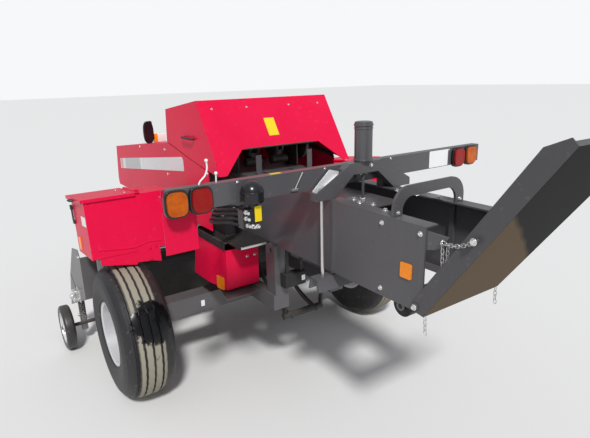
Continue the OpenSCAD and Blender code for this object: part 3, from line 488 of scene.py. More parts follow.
def bar(lo, hi, corner=0.003, axis=2):
    # Square bar with round long edges, from its low to its high corner, along the given axis
    lo, hi = np.asarray(lo, float), np.asarray(hi, float)
    size = hi - lo
    u, v = [(1, 2), (2, 0), (0, 1)][axis]
    eye = np.eye(3)
    middle = (lo + hi) / 2 - eye[axis] * size[axis] / 2
    outline = roundedRectangle(size[u], size[v], min(corner, size[u] / 2.01, size[v] / 2.01), 4)
    return prism(outline, size[axis], middle, eye[u], eye[v])


def squircle(halfWide, halfHigh, power, steps=64):
    # |x / a| ^ n + |y / b| ^ n = 1
    t = np.arange(steps) * 2 * math.pi / steps
    bend = 2 / power
    x = halfWide * np.sign(np.cos(t)) * np.abs(np.cos(t)) ** bend
    z = halfHigh * np.sign(np.sin(t)) * np.abs(np.sin(t)) ** bend
    return np.stack([x, z], -1)


def mirrored(shape):
    points, faces = shape
    return points * np.array([-1, 1, 1]), faces


def bothSides(shapes):
    return shapes + [mirrored(shape) for shape in shapes]


def onSide(side, shapes):
    # Shapes are drawn for the right side
    return shapes if side > 0 else [mirrored(shape) for shape in shapes]


def bothWays(profile):
    # A profile of (radius, place along the axis), followed by its mirror image in the middle plane
    half = np.asarray(profile, float)
    return np.vstack([half, half[::-1] * (1, -1)])


# Sizes of a bolt are shares of its size across the flats
boltShape = {"washer": 0.85, "washerHigh": 0.12, "washerEdge": (0.95, 0.8), "high": 0.55,
             "dome": (0.86, 0.08)}


def bolt(place, direction, across=0.019, washer=True):
    # Hexagon head with a domed top over a round washer
    shapes = []
    seat = 0.0
    if washer:
        r, seat = across * boltShape["washer"], across * boltShape["washerHigh"]
        edge, level = boltShape["washerEdge"]
        rim = [(0, 0), (r, 0), (r, seat * level), (r * edge, seat), (0, seat)]
        shapes.append(turned(rim, place, direction, 18))
    top = seat + across * boltShape["high"]
    r = across / math.sqrt(3)
    share, fall = boltShape["dome"]
    head = [(0, seat), (r, seat), (r, top - across * fall), (r * share, top), (0, top)]
    shapes.append(turned(head, place, direction, 6))
    return shapes


def addPiece(name, shapes, finish, body, replaces=(), bevel=0.0, sharp=35.0):
    points, faces, start = [], [], 0
    for shapePoints, shapeFaces in shapes:
        points.append(shapePoints)
        faces += [[i + start for i in face] for face in shapeFaces]
        start += len(shapePoints)
    place = np.vstack(points) + np.array([0, machine["lineY"], 0])
    mesh = bpy.data.meshes.new(name)
    mesh.from_pydata(place.tolist(), [], faces)
    work = bmesh.new()
    work.from_mesh(mesh)
    bmesh.ops.remove_doubles(work, verts=work.verts, dist=1e-6)
    bmesh.ops.recalc_face_normals(work, faces=work.faces[:])
    work.to_mesh(mesh)
    work.free()
    mesh.shade_smooth()
    mesh.set_sharp_from_angle(angle=math.radians(sharp))
    obj = bpy.data.objects.new(name, mesh)
    bpy.context.scene.collection.objects.link(obj)
    mesh.materials.append(stuffs[finish])
    if bevel:
        finishing = obj.modifiers.new("edges", "BEVEL")
        finishing.width, finishing.segments, finishing.limit_method = bevel, 2, "ANGLE"
    if body:
        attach(obj, body)
    for node in replaces:
        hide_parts(node)
    return obj


# Tyres: five ribs with four wavy grooves, round shoulders, a ringed sidewall and a bead.
# Sections are (radius, inset from the widest place); a raised ring is (radius, width, rise)
tyre = {"axle": (0.976, 0.130, 0.435), "radius": 0.435, "half": 0.158,
        "crown": [(0.411, 0.043), (0.4315, 0.095), (0.435, 0.158)],
        "wall": [(0.4145, 0.0475), (0.404, 0.033), (0.378, 0.014), (0.345, 0.003), (0.317, 0), (0.285, 0.002),
                 (0.240, 0.009), (0.216, 0.017), (0.205, 0.028), (0.1985, 0.042)],
        "rings": [(0.372, 0.006, 0.0016), (0.300, 0.004, 0.0012), (0.226, 0.005, 0.0025)],
        "inner": [(0.1985, 0.062), (0.228, 0.032), (0.317, 0.022), (0.405, 0.095)],
        "grooveStep": 0.0485, "grooveShift": 0.025, "grooveHalf": 0.0078, "grooveDepth": 0.012,
        "grooveFloor": 0.62, "wave": 0.0012, "waves": 44, "steps": 176}


def tyreProfile():
    # Radius and distance from the middle plane, outwards positive, round the whole section; and what sways
    half = tyre["half"]
    crown = np.array(tyre["crown"])
    crownR = np.concatenate([crown[:, 0], crown[1::-1, 0]])
    crownH = np.concatenate([crown[:, 1] - half, half - crown[1::-1, 1]])
    spots, depths, waves = [], [], []
    for centre in tyre["grooveShift"] + (np.arange(4) - 1.5) * tyre["grooveStep"]:
        for offset, depth in ((-1.0, 0), (-tyre["grooveFloor"], 1), (tyre["grooveFloor"], 1), (1.0, 0)):
            spots.append(centre + offset * tyre["grooveHalf"])
            depths.append(depth * tyre["grooveDepth"])
            waves.append(1.0)
        spots.append(centre + tyre["grooveStep"] / 2)
        depths.append(0)
        waves.append(0.0)
    spots, depths, waves = np.array(spots[:-1]), np.array(depths[:-1]), np.array(waves[:-1])
    tread = np.stack([np.polyval(np.polyfit(crownH, crownR, 4), spots) - depths, spots], -1)
    wall = smooth([(radius, half - inset) for radius, inset in tyre["wall"]], 5)
    for ringRadius, ringWidth, rise in tyre["rings"]:
        wall[:, 1] += rise * np.exp(-((wall[:, 0] - ringRadius) / ringWidth) ** 2)
    wall[:, 1] = np.minimum(wall[:, 1], half)
    inner = np.array([(radius, half - inset) for radius, inset in tyre["inner"]])
    flip = np.array([1, -1])
    section = np.vstack([(wall * flip)[::-1], tread, wall, inner, (inner * flip)[::-1]])
    wavy = np.concatenate([np.zeros(len(wall)), waves, np.zeros(len(wall) + 2 * len(inner))])
    return section, wavy


def makeTyre(side, label):
    # point(t, s) = axle + h(t, s) * X + radius(s) * (sin t * Y + cos t * Z); grooves sway by a triangle wave
    section, wavy = tyreProfile()
    t = np.arange(tyre["steps"]) * 2 * math.pi / tyre["steps"]
    sway = tyre["wave"] * (2 / math.pi) * np.arcsin(np.sin(t * tyre["waves"]))
    h = section[None, :, 1] + sway[:, None] * wavy[None, :]
    radius = np.broadcast_to(section[None, :, 0], h.shape)
    points = np.stack([h, radius * np.sin(t)[:, None], radius * np.cos(t)[:, None]], -1)
    points = (points + np.array(tyre["axle"])).reshape(-1, 3)
    shape = points, gridFaces(tyre["steps"], len(section), wrapRows=True, wrapColumns=True)
    body, node = "wheel_" + label, "tyre_" + label
    addPiece("tread_" + label, onSide(side, [shape]), "tyre_rubber", body, [node], sharp=38)


# Dust lies on the ribs' tops, is worn through in places, and is washed off a patch of the left tyre
dust = {"colour": (0.285, 0.262, 0.205, 1), "rough": 0.9, "depth": (0.0090, 0.0065),
        "innerEdge": (-0.002, 0.006), "outerEdge": (0.002, -0.004), "wear": 26, "wearRange": (0.27, 0.33),
        "blot": (-0.96, -0.30, 0.47), "blotRange": (0.16, 0.02, 0.0, 0.09)}
wet = {"colour": (0.0035, 0.0035, 0.004, 1), "rough": 0.16, "centre": (-0.952, -0.252, 0.630), "reach": 0.130,
       "narrow": 1.12, "edge": 0.008, "ragged": 0.16, "raggedScale": 17}


def wheelRadius(tree):
    # Distance from the main wheels' axle
    group = addNode(tree, "ShaderNodeGroup", node_tree=ring)
    group.inputs["Axle"].default_value = (0, tyre["axle"][1] + machine["lineY"], tyre["axle"][2])
    return group.outputs["Radius"]


def wetPatch(tree):
    place = objectPlace(tree)
    away = vectorCalc(tree, "SUBTRACT", place, fromLine(wet["centre"]))
    away = vectorCalc(tree, "MULTIPLY", away, (wet["narrow"], 1, 1))
    away = vectorCalc(tree, "LENGTH", away, result="Value")
    uneven = times(tree, minus(tree, noiseAt(tree, place, wet["raggedScale"], 5), 0.5), wet["ragged"])
    return stretch(tree, plus(tree, away, uneven), wet["reach"] + wet["edge"], wet["reach"] - wet["edge"])


def ribDust(tree):
    place = objectPlace(tree)
    top = stretch(tree, wheelRadius(tree), *(tyre["radius"] - depth for depth in dust["depth"]))
    side = calc(tree, "ABSOLUTE", along(tree, place, "X"))
    # only the ribs between the outermost grooves are dusty
    reach = tyre["grooveShift"] + 1.5 * tyre["grooveStep"]
    middle = tyre["axle"][0]
    innerEdge = stretch(tree, side, *(middle - reach + gap for gap in dust["innerEdge"]))
    outerEdge = stretch(tree, side, *(middle + reach + gap for gap in dust["outerEdge"]))
    near = vectorCalc(tree, "DISTANCE", place, fromLine(dust["blot"]), result="Value")
    blot = stretch(tree, near, *dust["blotRange"])
    worn = stretch(tree, minus(tree, noiseAt(tree, place, dust["wear"], 4, 0.6), blot), *dust["wearRange"])
    return times(tree, top, innerEdge, outerEdge, minus(tree, 1.0, wetPatch(tree)), worn)


pushColour("tyre_rubber", ribDust, dust["colour"], dust["rough"])
pushColour("tyre_rubber", wetPatch, wet["colour"], wet["rough"])

# Wheels: the dish inside the rim's bright edge is painted darker, a painted shade; nuts round the hub, a domed cap
# and a valve
rimShadeLook = {"dish": (0.30, 0.31, 0.34, 1), "range": (0.186, 0.178)}
hub = {"nutCircle": 0.074, "nuts": 6, "nut": 0.021, "disc": -0.022, "capOut": 0.039,
       "cap": [(0.044, 0), (0.044, 0.004), (0.0396, 0.010), (0.0242, 0.015), (0, 0.017)],
       "valveRadius": 0.168, "valve": (0.018, 0.045), "valveThick": 0.004}


def rimDishShade(tree):
    return stretch(tree, wheelRadius(tree), *rimShadeLook["range"])


def makeHub(side, label):
    x, y, z = tyre["axle"]
    axis = (1, 0, 0)
    shapes = []
    for angle in np.arange(hub["nuts"]) * 2 * math.pi / hub["nuts"]:
        nutY, nutZ = y + hub["nutCircle"] * math.sin(angle), z + hub["nutCircle"] * math.cos(angle)
        shapes += bolt((x + hub["disc"], nutY, nutZ), axis, hub["nut"])
    shapes.append(turned(hub["cap"], (x + hub["capOut"], y, z), axis, 32))
    stem = [(x + out, y + hub["valveRadius"], z) for out in hub["valve"]]
    shapes.append(tube(stem, hub["valveThick"]))
    addPiece("hub_" + label, onSide(side, shapes), "zinc", "wheel_" + label)


# Gauge wheels: rubber ring with two fine grooves, on a pale dished rim; profiles of the outer half
gauge = {"axle": (1.247, 0.970, 0.170),
         "tread": [(0.118, -0.030), (0.130, -0.035), (0.152, -0.036), (0.165, -0.029), (0.170, -0.018)],
         "groove": (0.006, 0.003, 0.0015),
         "disc": [(0.119, -0.032), (0.114, -0.032), (0.110, -0.012), (0.055, -0.006), (0.034, -0.020),
                  (0.034, -0.0335), (0.0142, -0.0335)]}


def makeGaugeWheel(side, label):
    place, half, depth = gauge["groove"]
    tread = smooth(bothWays(gauge["tread"]), 4)
    tread[:, 0] -= depth * (np.abs(np.abs(tread[:, 1]) - place) < half)
    body, node = "gauge_" + label, "gauge_wheel_" + label
    ringShape = turned(tread, gauge["axle"], (1, 0, 0), 72)
    rimShape = turned(bothWays(gauge["disc"]), gauge["axle"], (1, 0, 0), 48)
    addPiece("gauge_tyre_" + label, onSide(side, [ringShape]), "wheel_rubber", body, [node])
    addPiece("gauge_rim_" + label, onSide(side, [rimShape]), "silver_paint", body, [node])


# painted shade: the rims' dish is coloured darker than their bright edge
pushColour("wheelRim", rimDishShade, rimShadeLook["dish"])
for maker in (makeTyre, makeHub, makeGaugeWheel):
    for label, side in machine["sides"].items():
        maker(side, label)
print("wheels made")

# Rear lamps: a black surround and a domed lens with a flat face, both rounded squares.
# Each level is (share of the outline, distance behind the bar)
lamps = {"amber": (-1.009, 0.909), "red": (-0.899, 0.794), "height": 1.482, "bar": -0.955,
         "half": (0.0445, 0.0515), "rim": 0.009, "roundness": 3.4,
         "surround": [(0, 0), (1, 0), (1, 0.015), (0.985, 0.018), (0.90, 0.018), (0.0, 0.018)],
         "lens": [(0, 0.018), (1, 0.018), (1, 0.024), (0.975, 0.0285), (0.90, 0.0285), (0.45, 0.0296),
                  (0, 0.030)]}


def squareDome(x, rim, levels):
    # point(s, t) = lamp's place + share(s) * outline(t), behind the bar by distance(s)
    a, b = lamps["half"]
    outline = squircle(a + rim, b + rim, lamps["roundness"])
    share, deep = np.asarray(levels, float).T
    flat = share[:, None, None] * outline[None]
    back = np.broadcast_to(lamps["bar"] - deep[:, None], flat.shape[:2])
    points = np.stack([x + flat[..., 0], back, lamps["height"] + flat[..., 1]], -1)
    return points.reshape(-1, 3), gridFaces(len(share), len(outline), wrapColumns=True)


def makeLamps():
    surrounds = [squareDome(x, lamps["rim"], lamps["surround"]) for x in lamps["amber"] + lamps["red"]]
    addPiece("lamp_surrounds", surrounds, "black_plastic", "frame", ["lamp_housings"])
    for kind in ("amber", "red"):
        lenses = [squareDome(x, 0.0, lamps["lens"]) for x in lamps[kind]]
        addPiece(kind + "_lenses", lenses, kind + "_lens", "frame", [kind + "_lamps"])


makeLamps()
print("lamps made")

# Bolts on the frame: direction that they face, size across the flats, on both sides or not, and places
frameBolts = {
    "wall": ((1, 0, 0), 0.014, True, [(0.240, -1.372, 1.351), (0.240, -1.589, 1.353),
                                      (0.240, -1.372, 1.043)]),
    "chuteBolt": ((1, 0, 0), 0.016, True, [(0.264, -1.593, 1.038)]),
    "flange": ((0, 0, 1), 0.016, True, [(0.150, -1.085, 1.386), (0.172, -1.150, 1.386),
                                        (0.150, -1.220, 1.386), (0.180, -1.330, 1.386)]),
    "barFace": ((0, -1, 0), 0.008, True, [(-0.717, -0.955, 1.532), (-0.228, -0.955, 1.532)]),
    "yokeFace": ((0, -1, 0), 0.015, False, [(0.030, -1.010, 1.527)]),
    "guardRear": ((0, -1, 0), 0.011, False, [(-0.323, -0.2745, 0.897), (-0.266, -0.2745, 0.897)]),
    "gearCase": ((0, 1, 0), 0.022, False, [(-0.125, 1.350, 1.03), (-0.125, 1.350, 1.26), (0.125, 1.350, 1.03),
                                           (0.125, 1.350, 1.26), (0.0, 1.350, 1.265), (0.0, 1.350, 1.02)]),
    "arch": ((0, -1, 0), 0.012, True, [(0.205, -1.432, 1.400)]),
}


def makeFrameBolts():
    shapes = []
    for direction, size, both, places in frameBolts.values():
        made = [shape for place in places for shape in bolt(place, direction, size)]
        shapes += bothSides(made) if both else made
    addPiece("frame_bolts", shapes, "dryBolt", "frame")


makeFrameBolts()

# Twine boxes, in the box's own directions: x outwards, f forwards, h up, tipped forwards.
# Cards are (f, h) of two opposite corners, thickness and corner radius; the latch is a rubber foot, strap
# and grip, as (x, f, h) of two opposite corners and corner radius
twineBox = {"rear": 0.075, "low": 0.959, "tip": math.radians(6.2), "out": 1.165,
            "latch": [(0.0, 0.328, 0.187, 0.012, 0.362, 0.209, 0.004),
                      (0.006, 0.334, 0.205, 0.014, 0.356, 0.285, 0.003),
                      (0.004, 0.326, 0.279, 0.017, 0.364, 0.309, 0.005)],
            "latchEdge": 0.0015, "sticker": (0.014, 0.199, 0.132, 0.258, 0.0008, 0.004),
            "reflector": (0.258, 0.026, 0.306, 0.109, 0.006, 0.006),
            "creaseRadius": 0.0045, "lipRadius": 0.0022,
            "crease": [(1.121, 0.052), (0.941, 0.031), (0.891, 0.033), (0.826, 0.048), (0.743, 0.041)],
            "creaseIn": -0.0005, "lip": [(1.120, -0.002, 0.004), (0.900, -0.002, 0.004)], "bolt": 0.011,
            "bolts": [(0.819, 0.0, 0.005), (0.823, 0.0, -0.066), (0.780, 0.0, 0.010)]}
lid = {"grip": [(1.184, 0.17, 0.352), (1.203, 0.175, 0.350), (1.203, 0.255, 0.350), (1.184, 0.26, 0.352)],
       "gripRadius": 0.005, "rivets": [(0.90, 0.09, 0.365), (0.90, 0.30, 0.365)],
       "rivet": [(0, 0), (0.008, 0), (0.0065, 0.003), (0, 0.004)]}


def onBox(points):
    # (x, f, h) to the machine's own directions
    p = np.asarray(points, float)
    c, s = math.cos(twineBox["tip"]), math.sin(twineBox["tip"])
    return np.stack([p[..., 0], twineBox["rear"] + p[..., 1] * c + p[..., 2] * s,
                     twineBox["low"] - p[..., 1] * s + p[..., 2] * c], -1)


def onBoxShape(shape):
    return onBox(shape[0]), shape[1]


def boxCard(f0, h0, f1, h1, thick, corner):
    # Card on the outer wall of a twine box
    centre = (twineBox["out"], (f0 + f1) / 2, (h0 + h1) / 2)
    return onBoxShape(card(centre, (1, 0, 0), (0, 0, 1), f1 - f0, h1 - h0, thick, corner))


def makeBoxTrim():
    out = twineBox["out"]
    latch = [onBoxShape(bar((out + x0, f0, h0), (out + x1, f1, h1), corner))
             for x0, f0, h0, x1, f1, h1, corner in twineBox["latch"]]
    addPiece("box_latches", bothSides(latch), "rubberTrim", "frame", bevel=twineBox["latchEdge"])
    addPiece("box_reflectors", bothSides([boxCard(*twineBox["reflector"])]), "reflector", "frame")
    addPiece("box_labels", bothSides([boxCard(*twineBox["sticker"])]), "whiteLabel", "frame")
    # pressed crease across the rear wall as a low bead, the folded lip below it, and bolts at the hanger
    crease = smooth([(x, twineBox["creaseIn"], h) for x, h in twineBox["crease"]], 5)
    bead = tube(onBox(crease), twineBox["creaseRadius"], 8)
    lip = tube(onBox(twineBox["lip"]), twineBox["lipRadius"], 6)
    addPiece("box_creases", bothSides([bead, lip]), "red_paint", "frame")
    rearward, size = (0, -1, 0), twineBox["bolt"]
    bolts = [shape for place in twineBox["bolts"] for shape in bolt(onBox(place), rearward, size)]
    addPiece("box_bolts", bothSides(bolts), "red_paint", "frame")


def makeLidTrim():
    # A grip on each lid's outer edge, and two rivets by its hinge
    for label, side in machine["sides"].items():
        grip = onBoxShape(tube(smooth(lid["grip"], 6), lid["gripRadius"]))
        rivets = [onBoxShape(turned(lid["rivet"], place, (0, 0, 1), 12)) for place in lid["rivets"]]
        addPiece("lid_grip_" + label, onSide(side, [grip]), "rubberTrim", "lid_" + label)
        addPiece("lid_rivets_" + label, onSide(side, rivets), "dryBolt", "lid_" + label)


makeBoxTrim()
makeLidTrim()
print("twine boxes trimmed")

# Side covers: a bare silver strip that rises rearwards, its grey block, divider and bars, screws, and
# a rubber seal inside the upper edge. The strip's lower edge is (y, z), its parts are two places along Y,
# their lift off the cover and their inset from the strip's edges
covers = {"face": 0.488, "stripLow": [(1.675, 1.2205), (0.232, 1.3895)], "stripHigh": 0.092,
          "round": 0.030, "lift": 0.0006, "bars": [(1.746, 1.722), (1.706, 1.690)],
          "block": (1.590, 1.171, 0.0010, 0.003), "divider": (1.140, 1.115, 0.0011),
          "screws": [(1.124, 1.470), (0.563, 1.502), (0.545, 1.327), (-0.134, 1.425)],
          "screw": [(0, 0), (0.011, 0), (0.010, 0.0015), (0.0062, 0.0018), (0.006, 0.005), (0.003, 0.0062),
                    (0, 0.0064)],
          "seal": [(-0.148, 1.441), (-0.125, 1.446), (0.117, 1.488), (0.480, 1.562)], "sealFace": 0.4795,
          "sealUp": 0.010, "sealDown": 0.020, "sealThick": 0.004}
beamLabel = {"place": (0.500, 0.070, 0.493), "size": (0.027, 0.044)}


def stripPiece(y0, y1, lift, inset=0.0, rounded=False):
    # Slanted band on the right cover between two places along Y
    (ya, za), (yb, zb) = covers["stripLow"]
    z0 = za + (y0 - ya) * (zb - za) / (yb - ya)
    z1 = za + (y1 - ya) * (zb - za) / (yb - ya)
    high = covers["stripHigh"]
    outline = [(y1, z1 + inset), (y0, z0 + inset), (y0, z0 + high - inset)]
    if rounded:
        # rear end: a quarter circle at the upper corner
        radius = covers["round"]
        outline += [(y1 + radius * (1 - math.sin(t)), z1 + high - radius * (1 - math.cos(t)))
                    for t in np.linspace(0, math.pi / 2, 7)]
    else:
        outline.append((y1, z1 + high - inset))
    return prism(outline, lift, (covers["face"], 0, 0), (0, 1, 0), (0, 0, 1))


def makeCoverTrim():
    lift = covers["lift"]
    band = [stripPiece(*(y for y, z in covers["stripLow"]), lift, rounded=True)]
    band += [stripPiece(*ends, lift) for ends in covers["bars"]]
    addPiece("cover_strips", bothSides(band), "silverStrip", "frame")
    addPiece("strip_blocks", bothSides([stripPiece(*covers["block"])]), "stripGrey", "frame")
    addPiece("strip_dividers", bothSides([stripPiece(*covers["divider"])]), "whiteLabel", "frame")
    screws = [turned(covers["screw"], (covers["face"], y, z), (1, 0, 0), 18) for y, z in covers["screws"]]
    addPiece("cover_screws", bothSides(screws), "dryBolt", "frame")


def makeSeal():
    edge, up, down = covers["seal"], covers["sealUp"], covers["sealDown"]
    outline = [(y, z + up) for y, z in edge] + [(y, z - down) for y, z in edge[::-1]]
    seal = prism(outline, covers["sealThick"], (covers["sealFace"], 0, 0), (0, 1, 0), (0, 0, 1))
    addPiece("cover_seals", bothSides([seal]), "rubberTrim", "frame")
    label = blankLabel(beamLabel["place"], (0, -1, 0), (0, 0, 1), beamLabel["size"])
    addPiece("beam_labels", bothSides([label]), "whiteLabel", "frame")


makeCoverTrim()

# Knotter hood: a blank yellow label and screws on its slope, rubber edge over the opening, side grips
hood = {"slopeLow": (-0.310, 1.428), "slopeHigh": (-0.041, 1.852), "label": (-0.030, 1.675),
        "labelSize": (0.075, 0.125), "screws": [(0.16, 1.80), (0.40, 1.80)],
        "screw": [(0, 0), (0.007, 0), (0.006, 0.002), (0, 0.003)],
        "edge": (0.262, 1.559), "edgeOut": 0.002, "edgeRadius": 0.005, "gripRadius": 0.007,
        "grip": [(0.488, 0.02, 1.62), (0.508, 0.03, 1.62), (0.508, 0.17, 1.62), (0.488, 0.18, 1.62)]}


def onSlope(x, z, out=0.0):
    # Point on the sloping rear face of the hood
    (y0, z0), (y1, z1) = hood["slopeLow"], hood["slopeHigh"]
    run = unit((y1 - y0, z1 - z0))
    return np.array([x, y0 + (z - z0) * (y1 - y0) / (z1 - z0) - out * run[1], z + out * run[0]])


def makeHoodTrim():
    (y0, z0), (y1, z1) = hood["slopeLow"], hood["slopeHigh"]
    normal = (0, -(z1 - z0), y1 - y0)
    label = blankLabel(onSlope(*hood["label"]), normal, (0, y1 - y0, z1 - z0), hood["labelSize"])
    addPiece("hood_label", [label], "yellowLabel", "hood")
    screws = [turned(hood["screw"], onSlope(*place), normal, 16) for place in hood["screws"]]
    addPiece("hood_screws", bothSides(screws), "dryBolt", "hood")
    x, z = hood["edge"]
    edge = [onSlope(-x, z, hood["edgeOut"]), onSlope(x, z, hood["edgeOut"])]
    addPiece("hood_edge", [tube(edge, hood["edgeRadius"], 8)], "rubberTrim", "hood")
    grip = tube(smooth(hood["grip"], 6), hood["gripRadius"])
    addPiece("hood_grips", bothSides([grip]), "rubberTrim", "hood")


makeHoodTrim()
makeSeal()
print("covers trimmed")

# Lamp bar: blank white label, small yellow mark on its top edge, curved twine guide, lever and its foot
barTrim = {"label": (0.628, -0.955, 1.4885), "labelSize": (0.165, 0.097),
           "mark": (-0.503, -0.930, 1.540), "markSize": (0.060, 0.026),
           "guide": [(-0.890, -0.930, 1.540), (-0.880, -0.930, 1.556), (-0.858, -0.930, 1.576),
                     (-0.846, -0.930, 1.606), (-0.847, -0.930, 1.640)],
           "guideShort": [(-0.808, -0.930, 1.540), (-0.806, -0.930, 1.580)],
           "bead": [(0, -0.008), (0.006, -0.006), (0.008, 0), (0.006, 0.006), (0, 0.008)],
           "lever": [(-0.368, -0.962, 1.533), (-0.412, -0.962, 1.461)],
           "foot": ((-0.436, -0.972, 1.449), (-0.402, -0.955, 1.462)), "footCorner": 0.003,
           "guideRadius": 0.0038, "shortRadius": 0.0036, "leverRadius": 0.0035}


def makeBarTrim():
    label = blankLabel(barTrim["label"], (0, -1, 0), (0, 0, 1), barTrim["labelSize"])
    addPiece("bar_label", [label], "whiteLabel", "frame")
    mark = blankLabel(barTrim["mark"], (0, 0, 1), (0, 1, 0), barTrim["markSize"])
    addPiece("bar_mark", [mark], "yellowLabel", "frame")
    guide = [tube(smooth(barTrim["guide"], 6), barTrim["guideRadius"])]
    guide.append(tube(barTrim["guideShort"], barTrim["shortRadius"]))
    guide += [turned(barTrim["bead"], barTrim[path][-1], (0, 0, 1), 14) for path in ("guide", "guideShort")]
    addPiece("twine_guides", guide, "whiteLabel", "frame")
    lever = [tube(barTrim["lever"], barTrim["leverRadius"]), bar(*barTrim["foot"], barTrim["footCorner"], 0)]
    addPiece("bar_lever", lever, "zinc", "frame")


makeBarTrim()

# Tension gear: bands, cap and ports of the cylinder, a pale dull plate in each channel of the yoke,
# a pale dull gusset that stands in its left channel, and nuts under its crown. The plates and gusset are partly
# real hardware and partly a painted highlight: their pale colour stands for the shine in the channels
tension = {"y": -0.985, "bands": (1.552, 1.728), "ports": (1.585, 1.700), "portX": 0.030,
           "portAhead": 0.0322,
           "band": [(0.046, 0), (0.050, 0.001), (0.050, 0.009), (0.046, 0.010)],
           "cap": [(0.04462, 1.744), (0.04462, 1.748), (0.0368, 1.7505), (0, 1.7505)],
           "port": [(0, 0), (0.013, 0), (0.013, 0.020), (0.010, 0.024), (0, 0.024)], "portTo": (0.3, 1, 0),
           "channel": [(0.245, 1.4465), (0.160, 1.4940)], "plateWide": 0.032, "plateThick": 0.002,
           "plateUp": 0.0008,
           "gusset": [(0.318, 1.4045), (0.318, 1.434), (0.212, 1.528), (0.152, 1.512), (0.152, 1.4970)],
           "gussetAhead": 0.0155, "gussetThick": 0.003, "nutLow": 1.338, "nut": 0.030,
           "hangX": (0.022, -0.016), "hangZ": 1.4895, "hangNut": 0.015}


def makeTensionTrim():
    y = tension["y"]
    rings = [turned(tension["band"], (0, y, z), (0, 0, 1), 48) for z in tension["bands"]]
    rings.append(turned(tension["cap"], (0, y, 0), (0, 0, 1), 48))
    portX, portY = tension["portX"], y + tension["portAhead"]
    rings += [turned(tension["port"], (portX, portY, z), tension["portTo"], 12) for z in tension["ports"]]
    addPiece("cylinder_rings", rings, "grey_paint", "frame")
    (x0, z0), (x1, z1) = tension["channel"]
    run = unit((x1 - x0, 0, z1 - z0))
    centre = ((x0 + x1) / 2, y, (z0 + z1) / 2 + tension["plateUp"])
    wide, thick, long = tension["plateWide"], tension["plateThick"], math.hypot(x1 - x0, z1 - z0)
    plate = card(centre, np.cross((0, 1, 0), run), run, wide, long, thick, thick)
    stood = (0, y + tension["gussetAhead"], 0)
    gusset = prism(tension["gusset"], tension["gussetThick"], stood, (1, 0, 0), (0, 0, 1))
    # pale plates and gusset: painted highlight in the yoke's channels
    addPiece("yoke_plates", bothSides([plate]) + [mirrored(gusset)], "brightPlate", "frame")
    nuts = bolt((0.0, y, tension["nutLow"]), (0, 0, 1), tension["nut"], False)
    for x in tension["hangX"]:
        nuts += bolt((x, y, tension["hangZ"]), (0, 0, -1), tension["hangNut"])
    addPiece("yoke_nuts", nuts, "dryBolt", "frame")


makeTensionTrim()

# Reflectors of the chamber's walls and of the guard: place, facing, and (width, height, thickness, corner)
rearReflectors = {"wall": ((0.240, -1.5225, 1.174), (1, 0, 0), (0.061, 0.068, 0.007, 0.006)),
                  "guard": ((-0.4808, -0.205, 0.735), (-0.988, -0.155, -0.006), (0.074, 0.085, 0.006, 0.006))}


def makeRearReflectors():
    wall, guard = (card(place, facing, (0, 0, 1), *size) for place, facing, size in rearReflectors.values())
    addPiece("wall_reflectors", bothSides([wall]), "reflector", "frame")
    addPiece("guard_reflector", [guard], "reflector", "frame")


makeRearReflectors()

# Accumulator: seam and foot of its cap, blank yellow label, fittings, and rigid pipes to the valve block.
# Fittings are (x, z, length) from the accumulator; a pipe's path is from its start, and all end at the block
valve = {"centre": (-0.676, -1.008),
         "seam": [(0.052, 1.4885), (0.0542, 1.4895), (0.0542, 1.4955), (0.052, 1.4965)],
         "foot": [(0.0286, 1.442), (0.04992, 1.446), (0.053, 1.454), (0.052, 1.462)],
         "label": (0.012, -0.0245, 1.395), "labelFaces": (0.12, -1, 0), "labelSize": (0.038, 0.072),
         "fittings": [(-0.052, 1.412, 0.030), (-0.052, 1.385, 0.034), (-0.046, 1.352, 0.030),
                      (-0.020, 1.343, 0.026), (0.004, 1.340, 0.020)],
         "fittingBehind": 0.024, "fitting": 0.019, "fittingEnd": 0.007,
         "pipes": 4, "pipeX": -0.060, "pipeStep": 0.010, "pipeZ": 1.345, "pipeRise": 0.020,
         "pipeRadius": 0.0065, "pipePath": [(0, 0.020, 0), (-0.01, 0.10, -0.005), (-0.004, 0.30, -0.05),
                                             (0.10, 0.52, -0.10), (0.30, 0.66, -0.16)],
         "pipeEnd": (-0.330, -0.148, 1.118), "pipeEndStep": 0.014}


def makeValveTrim():
    x, y = valve["centre"]
    rings = [turned(valve[ringName], (x, y, 0), (0, 0, 1), 48) for ringName in ("seam", "foot")]
    addPiece("accumulator_seam", rings, "black_plastic", "frame")
    dx, dy, z = valve["label"]
    label = blankLabel((x + dx, y + dy, z), valve["labelFaces"], (0, 0, 1), valve["labelSize"])
    addPiece("valve_label", [label], "yellowLabel", "frame")
    fittings = []
    for dx, z, out in valve["fittings"]:
        place = (x + dx, y - valve["fittingBehind"], z)
        end = [(valve["fittingEnd"], 0), (valve["fittingEnd"], out), (0, out)]
        fittings += bolt(place, (0, -1, 0), valve["fitting"], False) + [turned(end, place, (0, -1, 0), 12)]
    addPiece("valve_fittings", fittings, "dryBolt", "frame")
    pipes = []
    endX, endY, endZ = valve["pipeEnd"]
    for k in range(valve["pipes"]):
        startX, startZ = x + valve["pipeX"] + valve["pipeStep"] * k, valve["pipeZ"] + valve["pipeRise"] * k
        start = np.array([startX, y, startZ])
        path = np.vstack([start + valve["pipePath"], (endX + valve["pipeEndStep"] * k, endY, endZ)])
        pipes.append(tube(smooth(path), valve["pipeRadius"], 8))
    addPiece("valve_pipes", pipes, "dark_iron", "frame")


makeValveTrim()

